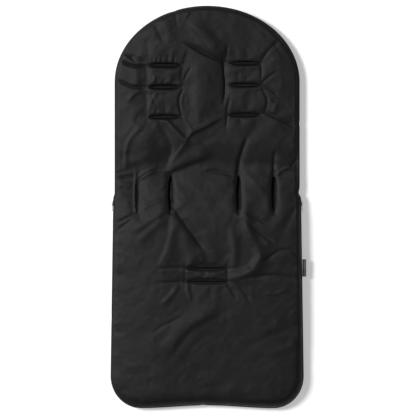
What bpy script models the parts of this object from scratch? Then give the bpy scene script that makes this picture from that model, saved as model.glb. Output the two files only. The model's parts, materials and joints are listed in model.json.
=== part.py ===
"""A padded stroller footmuff, closed and lying face down, built in metres with +Z up.

The back panel is in two parts that fold at the hips: the head part rests on the floor, and the seat part lies
on the front cover. A zip runs down both sides and round the foot between the seat part and the cover. Its two
sliders stand at the waist. Every panel is an outer shell, a wadding and a lining, one over the other.
"""
import math

import bmesh
import bpy
import numpy as np
from mathutils import Matrix, Vector
from mathutils.geometry import delaunay_2d_cdt

# Overall outline of the back, seen from above
LENGTH = 1.000
HEAD_WIDTH = 0.460
HEAD_ARC_RISE = 0.190
WAIST_WIDTH = 0.467
WAIST_FLARE_RUN = 0.015
FOOT_WIDTH = 0.480
FOOT_CORNER_ACROSS = 0.075
FOOT_CORNER_ALONG = 0.080
FOOT_HOLLOW = 0.007
FOLD_BELOW_HEAD = 0.396
WAIST_BELOW_FOLD = 0.084

# Heights: the head part, the fold, the seat part and the cover
HEAD_CREST = 0.027
HEAD_EDGE_LIFT = 0.013
HEAD_RISE_RUN = 0.060
FOLD_HEIGHT = 0.019
SEAT_CREST = 0.041
SEAT_RISE_RUN = 0.140
POCKET_ROOF = 0.026
ROOF_TOUCH_RUN = 0.055
ROOF_RISE_RUN = 0.090
COVER_CREST = 0.014
COVER_RISE_RUN = 0.070
HEM_HEIGHT = 0.0085
EDGE_ROLL = 0.012
EDGE_ROLL_SHARE = 0.45
SWELL_REACH = 0.090
COVER_ROLL = 0.030
SLOPE_REACH = 0.060

# Panel layers
SHELL_THICKNESS = 0.0010
LINING_THICKNESS = 0.0012
WADDING_EDGE = 0.0030
COVER_WADDING_EDGE = 0.0017
BINDING_WIDTH = 0.0020
CLEARANCE = 0.0003

# Zip
CHAIN_AT_FOOT = 0.012
CHAIN_AT_WAIST = 0.012
ZIP_INSET = 0.0015
CHAIN_GAP = 0.0012
COIL_SIZE = 0.0022
TAPE_THICKNESS = 0.0009
TAPE_HEIGHT = 0.0024
STOP_LENGTH = 0.0030
STOP_WIDTH = 0.0034
TAPE_MARGIN = 0.0005

# Fold between the head part and the seat part
FOLD_GAP = 0.0003
FOLD_BEVEL_DEGREES = 36.0
FOLD_BEVEL_REACH = 0.020

# Harness slots
SLOT_WIDTH = 0.0100
SLOT_DROP = 0.006
SLOT_DENT_REACH = 0.013
SLOT_GROUP_SHIFT = -0.006
SLOT_RING_OFFSET = 0.012
SLOT_BINDING_WALL = 0.0012
SLOT_BINDING_PROUD = 0.0005
SHOULDER_SLOT_LENGTH = 0.084
SHOULDER_SLOT_SPREAD = 0.200
SHOULDER_ROW_TOP_BELOW_HEAD = 0.146
SHOULDER_ROW_MIDDLE_BELOW_HEAD = 0.200
SHOULDER_ROW_LOW_BELOW_HEAD = 0.274
SHOULDER_ROW_SKEW = 0.0025
WAIST_SLOT_LENGTH = 0.098
WAIST_SLOT_BELOW_FOLD = 0.021
WAIST_SLOT_INNER_SPREAD = 0.169
WAIST_SLOT_OUTER_SPREAD = 0.344
CROTCH_SLOT_LENGTH = 0.107
CROTCH_SLOT_BELOW_WAIST = 0.172
CROTCH_SLOT_PITCH = 0.033

# Label tab in the seam
LABEL_REACH = 0.0095
LABEL_LENGTH = 0.043
LABEL_BELOW_WAIST = 0.150
LABEL_PLY = 0.0008
LABEL_SLIT = 0.0004

# Slider, in its own frame: along the chain, out from the side, and up
SLIDER_LENGTH = 0.0130
SLIDER_HALF_HEIGHT = 0.0045
SLIDER_PLATE = 0.0014
SLIDER_COIL_CLEARANCE = 0.00025
SLIDER_POST_LENGTH = 0.0040
SLIDER_POST_HEIGHT = 0.0007
SLIDER_OVERLAP = 0.0002
ARCH_LENGTH = 0.0070
ARCH_HALF_WIDTH = 0.0012
ARCH_HEIGHT = 0.0024
ARCH_BAR = 0.0007
ARCH_FOOT = 0.0012
PULL_PIN_RADIUS = 0.0005
PULL_THICKNESS = 0.0012
PULL_ARM_WIDTH = 0.0010
PULL_LENGTH = 0.0200
PULL_NECK = 0.0042
PULL_TAB_HALF_WIDTH = 0.0028

# Counts of points
HEAD_ARC_POINTS = 11
CORNER_POINTS = 6
FOOT_END_POINTS = 4
SIDE_POINTS = 8
HEM_POINTS = 9
SLOT_SIDE_SHARES = (1 / 3, -1 / 3)
BINDING_SHARES = ((0.0, 0.7), (0.0, 0.3), (0.5, 0.0), (1.0, 0.3), (1.0, 0.7), (0.5, 1.0))
PIN_SIDES = 8

NET_TOLERANCE = 0.000001
RIM_RING_NEAR = 0.012
RIM_RING_FAR = 0.032
NET_PITCH = 0.046
NET_SPACING = 0.016
NET_RIM_CLEARANCE = 0.008

# Places worked out from the sizes above
COVER_LENGTH = LENGTH - FOLD_BELOW_HEAD - WAIST_BELOW_FOLD
Y_HEAD = LENGTH / 2
Y_FOOT = -LENGTH / 2
Y_ARC = Y_HEAD - HEAD_ARC_RISE
Y_FOLD = Y_HEAD - FOLD_BELOW_HEAD
Y_WAIST = Y_FOOT + COVER_LENGTH
Y_FLARE = Y_WAIST + WAIST_FLARE_RUN
Y_CORNER = Y_FOOT + FOOT_CORNER_ALONG
Y_ROOF_TOUCH = Y_WAIST + ROOF_TOUCH_RUN
LAYER_INSET = BINDING_WIDTH + CLEARANCE
EDGE_THICKNESS = SHELL_THICKNESS + WADDING_EDGE + LINING_THICKNESS + 2 * CLEARANCE
COVER_EDGE_THICKNESS = SHELL_THICKNESS + COVER_WADDING_EDGE + LINING_THICKNESS + 2 * CLEARANCE
EDGE_OVER_CHAIN = CHAIN_GAP / 2 + COIL_SIZE + TAPE_HEIGHT + 2 * CLEARANCE
HINGE_HEIGHT = CHAIN_AT_FOOT
Y_COIL = Y_WAIST - TAPE_MARGIN - STOP_LENGTH - CLEARANCE

BLACK_SHELL = ("black_polyester", (0.022, 0.022, 0.024), 0.42, 0.0)
BLACK_BINDING = ("binding_tape", (0.014, 0.014, 0.015), 0.60, 0.0)
WHITE_WADDING = ("wadding", (0.72, 0.72, 0.70), 0.95, 0.0)
GREY_LINING = ("lining_fleece", (0.045, 0.046, 0.050), 0.95, 0.0)
ZIP_TAPE = ("zip_tape", (0.012, 0.012, 0.013), 0.75, 0.0)
ZIP_COIL = ("zip_coil", (0.010, 0.010, 0.011), 0.35, 0.0)
STOP_METAL = ("stop_metal", (0.30, 0.30, 0.31), 0.40, 0.9)
SLIDER_METAL = ("slider_metal", (0.020, 0.020, 0.021), 0.35, 0.6)
PULL_METAL = ("pull_metal", (0.34, 0.34, 0.35), 0.35, 0.9)
LABEL_RIBBON = ("label_ribbon", (0.16, 0.16, 0.165), 0.80, 0.0)


def start_empty():
    for thing in list(bpy.data.objects):
        bpy.data.objects.remove(thing, do_unlink=True)


def material_of(finish):
    name, colour, roughness, metallic = finish
    material = bpy.data.materials.get(name) or bpy.data.materials.new(name)
    material.use_nodes = True
    shader = material.node_tree.nodes["Principled BSDF"]
    shader.inputs["Base Color"].default_value = (*colour, 1.0)
    shader.inputs["Roughness"].default_value = roughness
    shader.inputs["Metallic"].default_value = metallic
    return material


def pivot(name, place, parent=None):
    """An empty on a joint's axis, which carries the pieces that move about it."""
    empty = bpy.data.objects.new(name, None)
    bpy.context.collection.objects.link(empty)
    empty.location = Vector(place) - (Vector(parent["place"]) if parent else Vector())
    empty["place"] = tuple(place)
    empty.parent = parent
    return empty


def point_outwards(mesh):
    shape = bmesh.new()
    shape.from_mesh(mesh)
    bmesh.ops.recalc_face_normals(shape, faces=shape.faces)
    shape.to_mesh(mesh)
    shape.free()


def add_piece(name, points, faces, finish, carrier=None, origin=None):
    """One closed body from world points, with its origin on its carrier or at its own joint."""
    base = Vector(carrier["place"]) if carrier else Vector()
    place = Vector(origin) if origin is not None else base
    mesh = bpy.data.meshes.new(name)
    mesh.from_pydata([Vector(p) - place for p in points], [], [tuple(f) for f in faces])
    point_outwards(mesh)
    mesh.materials.append(material_of(finish))
    piece = bpy.data.objects.new(name, mesh)
    bpy.context.collection.objects.link(piece)
    piece.parent = carrier
    piece.location = place - base
    piece["place"] = tuple(place)
    return piece


def smooth(share):
    """0 to 1 with level ends."""
    t = np.clip(share, 0.0, 1.0)
    return t * t * (3.0 - 2.0 * t)


def roll(share):
    """0 to 1 along a quarter circle that starts steep and ends level."""
    t = np.clip(share, 0.0, 1.0)
    return np.sqrt(t * (2.0 - t))


def stack(*columns):
    return np.stack(np.broadcast_arrays(*columns), axis=-1).astype(float)


# Outline lines, from the head end's middle down the +X side to the foot end's middle


def right_side():
    turn = np.linspace(math.pi / 2, 0.0, HEAD_ARC_POINTS)
    head = stack(HEAD_WIDTH / 2 * np.cos(turn), Y_ARC + HEAD_ARC_RISE * np.sin(turn))
    middle = (Y_ARC + Y_FOLD) / 2
    waist = (Y_FOLD + Y_FLARE) / 2
    upper = np.array([(HEAD_WIDTH / 2, y) for y in (middle, Y_FOLD, waist, Y_FLARE)])
    down = np.linspace(0.0, 1.0, SIDE_POINTS)
    half = WAIST_WIDTH / 2 + (FOOT_WIDTH - WAIST_WIDTH) / 2 * down
    taper = stack(half, Y_WAIST + (Y_CORNER - Y_WAIST) * down)
    turn = np.linspace(0.0, math.pi / 2, CORNER_POINTS)[1:]
    centre = FOOT_WIDTH / 2 - FOOT_CORNER_ACROSS
    corner = stack(
        centre + FOOT_CORNER_ACROSS * np.cos(turn), Y_CORNER - FOOT_CORNER_ALONG * np.sin(turn)
    )
    across = np.linspace(centre, 0.0, FOOT_END_POINTS)[1:]
    end = stack(across, Y_FOOT + FOOT_HOLLOW * (1.0 + np.cos(math.pi * across / centre)) / 2)
    return np.concatenate([head, upper, taper, corner, end])


def inwards(line, inset):
    """A line moved to its right, which is inwards on the +X side. End points keep square ends."""
    step = np.gradient(line, axis=0)
    step /= np.linalg.norm(step, axis=1)[:, None]
    return line + inset * stack(step[:, 1], -step[:, 0])


def mirrored(line):
    """The line's copy on the -X side, followed back to the start."""
    return line[::-1] * (-1.0, 1.0)


def head_rim(inset):
    """The head part's rim, open at the fold, from the fold at -X over the head end to the fold at +X."""
    half = inwards(right_side(), inset)
    half = half[half[:, 1] >= Y_FOLD]
    return np.concatenate([mirrored(half), half[1:]])


def lower_rim(inset, y_top):
    """A rim that starts at y_top on +X, runs round the foot and ends at y_top on -X."""
    half = inwards(right_side(), inset)
    ys = half[:, 1]
    start = [(np.interp(-y_top, -ys, half[:, 0]), y_top)]
    half = np.concatenate([start, half[ys < y_top - NET_TOLERANCE]])
    return np.concatenate([half, mirrored(half)[1:]])


def whole_rim(inset):
    half = inwards(right_side(), inset)
    return np.concatenate([half, mirrored(half)[1:-1]])


def distance_to(line, points, closed=False):
    """Each point's distance to the nearest stretch of a line."""
    start = line if closed else line[:-1]
    end = np.roll(line, -1, axis=0) if closed else line[1:]
    run = end - start
    rel = points[:, None, :] - start[None]
    t = np.clip((rel * run).sum(2) / np.maximum((run * run).sum(1), NET_TOLERANCE**2), 0.0, 1.0)
    return np.linalg.norm(rel - t[..., None] * run, axis=2).min(axis=1)


def inside(loop, points):
    x, y = points[:, :1], points[:, 1:]
    x0, y0 = loop.T
    x1, y1 = np.roll(loop, -1, axis=0).T
    level = np.where(y1 == y0, NET_TOLERANCE, y1 - y0)
    crossing = ((y0 > y) != (y1 > y)) & (x < x0 + (y - y0) / level * (x1 - x0))
    return crossing.sum(axis=1) % 2 == 1


# Harness slots: each has a middle, a length and a direction


def slots_of_head():
    rows = {
        "top": SHOULDER_ROW_TOP_BELOW_HEAD,
        "middle": SHOULDER_ROW_MIDDLE_BELOW_HEAD,
        "low": SHOULDER_ROW_LOW_BELOW_HEAD,
    }
    found = {}
    for row, below in rows.items():
        for side, sign in (("left", -1), ("right", 1)):
            x = SLOT_GROUP_SHIFT + sign * SHOULDER_SLOT_SPREAD / 2
            y = Y_HEAD - below + sign * SHOULDER_ROW_SKEW
            found[f"shoulder_slot_{side}_{row}"] = (x, y, SHOULDER_SLOT_LENGTH, False)
    return found


def slots_of_seat():
    found = {}
    y = Y_FOLD - WAIST_SLOT_BELOW_FOLD - WAIST_SLOT_LENGTH / 2
    spreads = {"outer": WAIST_SLOT_OUTER_SPREAD, "inner": WAIST_SLOT_INNER_SPREAD}
    for ring, spread in spreads.items():
        for side, sign in (("left", -1), ("right", 1)):
            x = SLOT_GROUP_SHIFT + sign * spread / 2
            found[f"waist_slot_{side}_{ring}"] = (x, y, WAIST_SLOT_LENGTH, True)
    upper = Y_WAIST - CROTCH_SLOT_BELOW_WAIST
    found["crotch_slot_upper"] = (0.0, upper, CROTCH_SLOT_LENGTH, False)
    found["crotch_slot_lower"] = (0.0, upper - CROTCH_SLOT_PITCH, CROTCH_SLOT_LENGTH, False)
    return found


def slot_core(slot):
    """The two ends of a slot's middle line, half a width short of its tips."""
    x, y, length, upright = slot
    run = np.array((0.0, 1.0) if upright else (1.0, 0.0)) * (length - SLOT_WIDTH) / 2
    return np.array([(x, y) - run, (x, y) + run])


def slot_loop(slot, grow):
    """A slit with round ends, grown outwards by grow, anticlockwise."""
    low, high = slot_core(slot)
    ahead = (high - low) / np.linalg.norm(high - low)
    aside = np.array((-ahead[1], ahead[0]))
    radius = SLOT_WIDTH / 2 + grow
    loop = []
    for middle, way in ((high, 1), (low, -1)):
        for angle in np.radians((-90.0, -30.0, 30.0, 90.0)):
            loop.append(middle + way * radius * (np.cos(angle) * ahead + np.sin(angle) * aside))
        for share in SLOT_SIDE_SHARES:
            loop.append((low + high) / 2 + way * (share * (high - low) / 2 + radius * aside))
    return np.array(loop)


def distance_to_slots(slots, points):
    found = [distance_to(slot_core(slot), points) for slot in slots.values()]
    return np.maximum(np.min(found, axis=0) - SLOT_WIDTH / 2, 0.0)


# Height fields


def chain_height(y):
    """The zip's middle plane, which passes through the hinge line at the foot."""
    return CHAIN_AT_FOOT + (CHAIN_AT_WAIST - CHAIN_AT_FOOT) * (y - Y_FOOT) / COVER_LENGTH


def back_edge_low(y):
    over_zip = chain_height(np.minimum(y, Y_WAIST)) + EDGE_OVER_CHAIN
    fade = smooth((y - Y_WAIST) / (Y_FOLD - Y_WAIST))
    return over_zip + (HEAD_EDGE_LIFT - over_zip) * fade


def back_edge_high(y):
    return back_edge_low(y) + EDGE_THICKNESS


def crest(y):
    head = FOLD_HEIGHT + (HEAD_CREST - FOLD_HEIGHT) * smooth((y - Y_FOLD) / HEAD_RISE_RUN)
    seat = FOLD_HEIGHT + (SEAT_CREST - FOLD_HEIGHT) * smooth((Y_FOLD - y) / SEAT_RISE_RUN)
    return np.where(y > Y_FOLD, head, seat)


def back_heights(points, slots):
    """The underside and the top of the back at plan points. The top rolls up quickly from the sewn edge and then
    swells slowly to the crest, and it is drawn down along each slot."""
    y = points[:, 1]
    in_from_rim = distance_to(whole_rim(LAYER_INSET), points, closed=True)
    roof = POCKET_ROOF * smooth((Y_ROOF_TOUCH - y) / ROOF_RISE_RUN)
    low = back_edge_low(y)
    under = low + (roof - low) * smooth(in_from_rim / SLOPE_REACH)
    swell = EDGE_ROLL_SHARE * roll(in_from_rim / EDGE_ROLL)
    swell = swell + (1.0 - EDGE_ROLL_SHARE) * smooth(in_from_rim / SWELL_REACH)
    top = back_edge_high(y) + (crest(y) - back_edge_high(y)) * swell
    dent = SLOT_DROP * (1.0 - roll(distance_to_slots(slots, points) / SLOT_DENT_REACH))
    return under, top - dent


def cover_edge_high(y):
    return chain_height(y) - EDGE_OVER_CHAIN


def cover_edge_low(y):
    return cover_edge_high(y) - COVER_EDGE_THICKNESS


def cover_heights(points):
    """The underside, which is the outer face, and the lined top of the cover at plan points."""
    y = points[:, 1]
    in_from_rim = distance_to(lower_rim(LAYER_INSET, Y_WAIST), points)
    low, high = cover_edge_low(y), cover_edge_high(y)
    crown = HEM_HEIGHT + (COVER_CREST - HEM_HEIGHT) * smooth((Y_WAIST - y) / COVER_RISE_RUN)
    top = high + (crown - high) * smooth(in_from_rim / SLOPE_REACH)
    return low * (1.0 - roll(in_from_rim / COVER_ROLL)), top


def fold_shift(y, z, side):
    """How far the bevelled end at the fold stands back at height z; side is 1 for the head part."""
    if side == 0:
        return 0.0 * z
    depth = np.maximum(FOLD_HEIGHT - z, 0.0)
    back = FOLD_GAP / 2 + depth * math.tan(math.radians(FOLD_BEVEL_DEGREES))
    near = 1.0 - np.clip(np.abs(y - Y_FOLD) / FOLD_BEVEL_REACH, 0.0, 1.0)
    return side * back * near


# Panels


def ring_points(loop, grow):
    """A closed anticlockwise loop moved outwards."""
    step = np.roll(loop, -1, axis=0) - np.roll(loop, 1, axis=0)
    step /= np.linalg.norm(step, axis=1)[:, None]
    return loop + grow * stack(step[:, 1], -step[:, 0])


def plan_net(rim, slots):
    """Triangles over the rim's inside, with a hole for each slot and rings of points beside the edges."""
    holes = [slot_loop(slot, 0.0) for slot in slots.values()]
    beside = [slot_loop(slot, SLOT_RING_OFFSET) for slot in slots.values()]
    low, high = rim.min(axis=0), rim.max(axis=0)
    xs = np.arange(low[0], high[0], NET_PITCH)
    ys = np.arange(low[1], high[1], NET_PITCH)
    grid = stack(*np.meshgrid(xs + NET_PITCH / 2, ys + NET_PITCH / 2)).reshape(-1, 2)
    near = [inwards(rim, RIM_RING_NEAR), inwards(rim[::2], RIM_RING_FAR)]
    wanted = np.concatenate(beside + near + [grid])
    wanted = wanted[inside(rim, wanted) & (distance_to(rim, wanted, True) > NET_RIM_CLEARANCE)]
    kept = []
    for point in wanted:
        gap = [distance_to(hole, point[None], True)[0] for hole in holes]
        if gap and min(gap) < NET_RIM_CLEARANCE or any(inside(hole, point[None])[0] for hole in holes):
            continue
        if all(np.hypot(*(point - other)) > NET_SPACING for other in kept):
            kept.append(point)
    points, edges = list(kept), []
    for loop in [rim] + holes:
        first = len(points)
        points.extend(loop)
        count = len(loop)
        edges.extend((first + i, first + (i + 1) % count) for i in range(count))
    net = delaunay_2d_cdt([Vector(p) for p in points], edges, [], 0, NET_TOLERANCE)
    plan = np.array([tuple(p) for p in net[0]])
    corners = np.array([tuple(face) for face in net[2]])
    middles = plan[corners].mean(axis=1)
    keep = inside(rim, middles)
    for hole in holes:
        keep &= ~inside(hole, middles)
    corners = corners[keep]
    a, b, c = (plan[corners[:, i]] for i in range(3))
    turned = (b - a)[:, 0] * (c - a)[:, 1] - (b - a)[:, 1] * (c - a)[:, 0] < 0.0
    corners[turned] = corners[turned][:, ::-1]
    used, names = np.unique(corners, return_inverse=True)
    return plan[used], names.reshape(-1, 3)


def rim_edges(corners):
    """The net's outer edges, each in the direction its triangle runs."""
    directed = {tuple(pair) for tri in corners for pair in zip(tri, np.roll(tri, -1))}
    return sorted((a, b) for a, b in directed if (b, a) not in directed)


def add_layer(name, net, low, high, finish, carrier=None, side=0):
    """A closed slab over the net between two height fields."""
    plan, corners = net
    count = len(plan)
    lower = stack(plan[:, 0], plan[:, 1] + fold_shift(plan[:, 1], low, side), low)
    upper = stack(plan[:, 0], plan[:, 1] + fold_shift(plan[:, 1], high, side), high)
    faces = [tuple(tri + count) for tri in corners] + [tuple(tri[::-1]) for tri in corners]
    for a, b in rim_edges(corners):
        faces += [(a, b, b + count), (a, b + count, a + count)]
    return add_piece(name, np.concatenate([lower, upper]), faces, finish, carrier)


def add_panel(part, rim, slots, heights, finish_down, carrier=None, side=0):
    """The three layers of a panel. finish_down puts the shell below and the lining on top."""
    net = plan_net(rim, slots)
    under, top = heights(net[0])
    thick_low = SHELL_THICKNESS if finish_down else LINING_THICKNESS
    thick_high = LINING_THICKNESS if finish_down else SHELL_THICKNESS
    low_name, high_name = ("outer_shell", "lining") if finish_down else ("lining", "outer_shell")
    finishes = {"outer_shell": BLACK_SHELL, "lining": GREY_LINING}
    wadding_low = under + thick_low + CLEARANCE
    wadding_high = top - thick_high - CLEARANCE
    add_layer(f"{part}_{low_name}", net, under, under + thick_low, finishes[low_name], carrier, side)
    add_layer(f"{part}_wadding", net, wadding_low, wadding_high, WHITE_WADDING, carrier, side)
    add_layer(f"{part}_{high_name}", net, top - thick_high, top, finishes[high_name], carrier, side)


# Bars that follow a line: edge bindings, zip tapes and coils


def add_bar(name, line, outline, finish, carrier=None, side=0, closed=False):
    """A bar along a plan line. outline(line) gives each corner's sideways offset and height."""
    rows = []
    for aside, height in outline(line):
        moved = inwards(line, aside) if not closed else ring_points(line, aside)
        shift = fold_shift(moved[:, 1], height, side)
        rows.append(stack(moved[:, 0], moved[:, 1] + shift, height))
    points = np.stack(rows, axis=1)
    steps, corners = points.shape[:2]
    faces = []
    for i in range(steps if closed else steps - 1):
        here, there = i * corners, (i + 1) % steps * corners
        for k in range(corners):
            k2 = (k + 1) % corners
            faces += [
                (here + k, there + k, there + k2),
                (here + k, there + k2, here + k2),
            ]
    if not closed:
        faces.append(tuple(range(corners)))
        faces.append(tuple(range((steps - 1) * corners, steps * corners))[::-1])
    return add_piece(name, points.reshape(-1, 3), faces, finish, carrier)


def binding_outline(low, high):
    """Six corners of a binding, from 0 at the rim to its full width inwards."""

    def corners(line):
        bottom, top = low(line[:, 1]), high(line[:, 1])
        return [(BINDING_WIDTH * across, bottom + (top - bottom) * up) for across, up in BINDING_SHARES]

    return corners


def wall_outline(middle, width, low, high):
    """Four corners of an upright strip round a middle line."""

    def corners(line):
        bottom, top = low(line[:, 1]), high(line[:, 1])
        outer, inner = middle - width / 2, middle + width / 2
        return [(outer, top), (outer, bottom), (inner, bottom), (inner, top)]

    return corners


def add_slot_bindings(slots, heights, carrier, side):
    """A thin sewn ring that lines each slot from its underside to just above its top."""
    for name, slot in slots.items():
        loop = slot_loop(slot, -CLEARANCE)
        under, top = heights(loop)
        wall = -SLOT_BINDING_WALL
        bottom, lip = under + SLOT_BINDING_PROUD / 2, top + SLOT_BINDING_PROUD
        outline = [(0.0, lip), (0.0, bottom), (wall, bottom), (wall, lip)]
        add_bar(f"{name}_binding", loop, lambda line: outline, BLACK_BINDING, carrier, side, closed=True)


# Zip parts


def side_frame(y, sign):
    """A frame on the chain at y: down the chain, out from the side, and up."""
    line = inwards(right_side(), ZIP_INSET)
    ys = line[:, 1]

    def on_chain(at):
        return Vector((sign * np.interp(-at, -ys, line[:, 0]), at, chain_height(at)))

    middle = on_chain(y)
    along = (on_chain(Y_CORNER) - on_chain(Y_WAIST)).normalized()
    out = Vector((sign * -along.y, sign * along.x, 0.0)).normalized()
    if out.x * sign < 0.0:
        out = -out
    up = Vector((0.0, 0.0, 1.0))
    up = (up - up.dot(along) * along).normalized()
    return Matrix((along, out, up)).transposed().to_4x4(), middle


def block(name, frame, place, low, high, finish, carrier=None, origin=None):
    """A box given by its low and high corners in a side frame."""
    ends = np.array([low, high])
    picks = [(i, j, k) for k in (0, 1) for j in (0, 1) for i in (0, 1)]
    local = [Vector((ends[i, 0], ends[j, 1], ends[k, 2])) for i, j, k in picks]
    points = [place + frame @ p for p in local]
    faces = [(0, 2, 3, 1), (4, 5, 7, 6), (0, 1, 5, 4), (2, 6, 7, 3), (0, 4, 6, 2), (1, 3, 7, 5)]
    return add_piece(name, points, faces, finish, carrier, origin)


def fuse(body, extras):
    """One body from a piece and the blocks that join it, which stay as hidden guides."""
    for extra in extras:
        cut = body.modifiers.new(extra.name, "BOOLEAN")
        cut.operation = "UNION"
        cut.solver = "EXACT"
        cut.object = extra
        extra.hide_render = True
        extra.display_type = "WIRE"


def pin(name, frame, place, half_length, carrier, origin):
    """A round bar along the side frame's up direction."""
    turn = np.linspace(0.0, 2 * math.pi, PIN_SIDES, endpoint=False)
    ring = stack(PULL_PIN_RADIUS * np.cos(turn), PULL_PIN_RADIUS * np.sin(turn))
    points = [place + frame @ Vector((*p, z)) for z in (-half_length, half_length) for p in ring]
    faces = [tuple(range(PIN_SIDES))[::-1], tuple(range(PIN_SIDES, 2 * PIN_SIDES))]
    for k in range(PIN_SIDES):
        k2 = (k + 1) % PIN_SIDES
        faces.append((k, k2, k2 + PIN_SIDES, k + PIN_SIDES))
    return add_piece(name, points, faces, PULL_METAL, carrier, origin)


def add_slider(side, sign, carrier):
    """Two plates on a post between the coil rows, an arch on the outer one, and the pull in the arch."""
    frame, place = side_frame(Y_COIL - CLEARANCE, sign)
    plate_in = COIL_SIZE / 2 + SLIDER_COIL_CLEARANCE
    plate_out = plate_in + SLIDER_PLATE
    half = SLIDER_HALF_HEIGHT
    arch_start = (SLIDER_LENGTH - ARCH_LENGTH) / 2
    arch_end = arch_start + ARCH_LENGTH
    arch_top = plate_out + ARCH_HEIGHT
    pin_out = plate_out + (ARCH_HEIGHT - ARCH_BAR) / 2
    axis_local = Vector((SLIDER_LENGTH / 2, pin_out, 0.0))
    axis_place = place + frame @ axis_local

    def piece(name, low, high, finish=SLIDER_METAL, origin=place):
        return block(name, frame, place, low, high, finish, carrier, origin)

    body = piece(f"zip_slider_{side}", (0.0, plate_in, -half), (SLIDER_LENGTH, plate_out, half))
    inner = piece(f"slider_{side}_inner", (0.0, -plate_out, -half), (SLIDER_LENGTH, -plate_in, half))
    post = piece(
        f"slider_{side}_post",
        (0.0, -plate_in - SLIDER_OVERLAP, -SLIDER_POST_HEIGHT / 2),
        (SLIDER_POST_LENGTH, plate_in + SLIDER_OVERLAP, SLIDER_POST_HEIGHT / 2),
    )
    feet = [
        piece(
            f"slider_{side}_foot_{n}",
            (start, plate_out - SLIDER_OVERLAP, -ARCH_HALF_WIDTH),
            (start + ARCH_FOOT, arch_top, ARCH_HALF_WIDTH),
        )
        for n, start in enumerate((arch_start, arch_end - ARCH_FOOT))
    ]
    bar = piece(
        f"slider_{side}_bar",
        (arch_start + SLIDER_OVERLAP, arch_top - ARCH_BAR, -ARCH_HALF_WIDTH + SLIDER_OVERLAP),
        (arch_end - SLIDER_OVERLAP, arch_top - SLIDER_OVERLAP, ARCH_HALF_WIDTH - SLIDER_OVERLAP),
    )
    fuse(body, [post, inner] + feet + [bar])

    middle = SLIDER_LENGTH / 2
    thick = PULL_THICKNESS / 2
    arm_in = ARCH_HALF_WIDTH + CLEARANCE
    arm_out = arm_in + PULL_ARM_WIDTH
    neck = middle + PULL_NECK
    tip = middle + PULL_LENGTH

    def bit(name, low, high):
        return block(name, frame, place, low, high, PULL_METAL, carrier, axis_place)

    tab = bit(
        f"zip_pull_{side}",
        (neck, pin_out - thick, -PULL_TAB_HALF_WIDTH),
        (tip, pin_out + thick, PULL_TAB_HALF_WIDTH),
    )
    arms = [
        bit(
            f"pull_{side}_arm_{n}",
            (middle - thick, pin_out - thick + SLIDER_OVERLAP / 2, low),
            (neck + SLIDER_OVERLAP, pin_out + thick - SLIDER_OVERLAP / 2, high),
        )
        for n, (low, high) in enumerate(((arm_in, arm_out), (-arm_out, -arm_in)))
    ]
    rod = pin(f"pull_{side}_pin", frame, axis_place, arm_in + SLIDER_OVERLAP, carrier, axis_place)
    fuse(tab, arms + [rod])


def add_stops(side, sign, seat):
    """The small blocks that end the two coil rows at the waist."""
    frame, place = side_frame(Y_COIL + CLEARANCE + STOP_LENGTH, sign)
    low, high = CHAIN_GAP / 2, CHAIN_GAP / 2 + COIL_SIZE
    half = STOP_WIDTH / 2
    for part, bottom, top, carrier in (("back", low, high, seat), ("cover", -high, -low, None)):
        block(
            f"zip_stop_{part}_{side}",
            frame,
            place,
            (0.0, -half, bottom),
            (STOP_LENGTH, half, top),
            STOP_METAL,
            carrier,
        )


def add_label(carrier):
    """A folded ribbon tab: a hairpin in section, sewn against the seat part's binding at +X."""
    top = Y_WAIST - LABEL_BELOW_WAIST
    line = right_side()
    ends = np.interp((-top, LABEL_LENGTH - top), -line[:, 1], line[:, 0])
    root = ends.max() + CLEARANCE
    tip = root + LABEL_REACH
    middle = back_edge_low(top) + EDGE_THICKNESS / 2
    slit, ply = LABEL_SLIT / 2, LABEL_SLIT / 2 + LABEL_PLY
    turn = tip - ply
    section = [
        (root, ply), (root, slit), (turn, slit), (turn, -slit), (root, -slit), (root, -ply),
        (turn, -ply), (tip, -slit), (tip, slit), (turn, ply),
    ]
    count = len(section)
    points = [(x, y, middle + z) for y in (top, top - LABEL_LENGTH) for x, z in section]
    faces = [tuple(range(count))[::-1], tuple(range(count, 2 * count))]
    for k in range(count):
        k2 = (k + 1) % count
        faces.append((k, k2, k2 + count, k + count))
    add_piece("side_label", points, faces, LABEL_RIBBON, carrier)


# The footmuff


def add_head(fold):
    slots = slots_of_head()

    def heights(points):
        return back_heights(points, slots)

    add_panel("head", head_rim(LAYER_INSET), slots, heights, False, fold, 1)
    outline = binding_outline(back_edge_low, back_edge_high)
    add_bar("head_edge_binding", head_rim(0.0), outline, BLACK_BINDING, fold, 1)
    add_slot_bindings(slots, heights, fold, 1)


def add_seat(hinge):
    slots = slots_of_seat()

    def heights(points):
        return back_heights(points, slots)

    add_panel("seat", lower_rim(LAYER_INSET, Y_FOLD), slots, heights, False, hinge, -1)
    outline = binding_outline(back_edge_low, back_edge_high)
    add_bar("seat_edge_binding", lower_rim(0.0, Y_FOLD), outline, BLACK_BINDING, hinge, -1)
    add_slot_bindings(slots, heights, hinge, -1)
    add_label(hinge)


def add_cover():
    rim = lower_rim(LAYER_INSET, Y_WAIST - LAYER_INSET)
    add_panel("cover", rim, {}, cover_heights, True)
    outline = binding_outline(cover_edge_low, cover_edge_high)
    add_bar("cover_edge_binding", lower_rim(0.0, Y_WAIST), outline, BLACK_BINDING)
    half = np.interp(-Y_WAIST, -right_side()[:, 1], right_side()[:, 0]) - LAYER_INSET
    across = np.linspace(-half, half, HEM_POINTS)
    line = stack(across, Y_WAIST)
    under, top = cover_heights(stack(across, Y_WAIST - LAYER_INSET))
    corners = [(BINDING_WIDTH * aside, under + (top - under) * up) for aside, up in BINDING_SHARES]
    add_bar("cover_top_hem", line, lambda _: corners, BLACK_BINDING)


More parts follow.
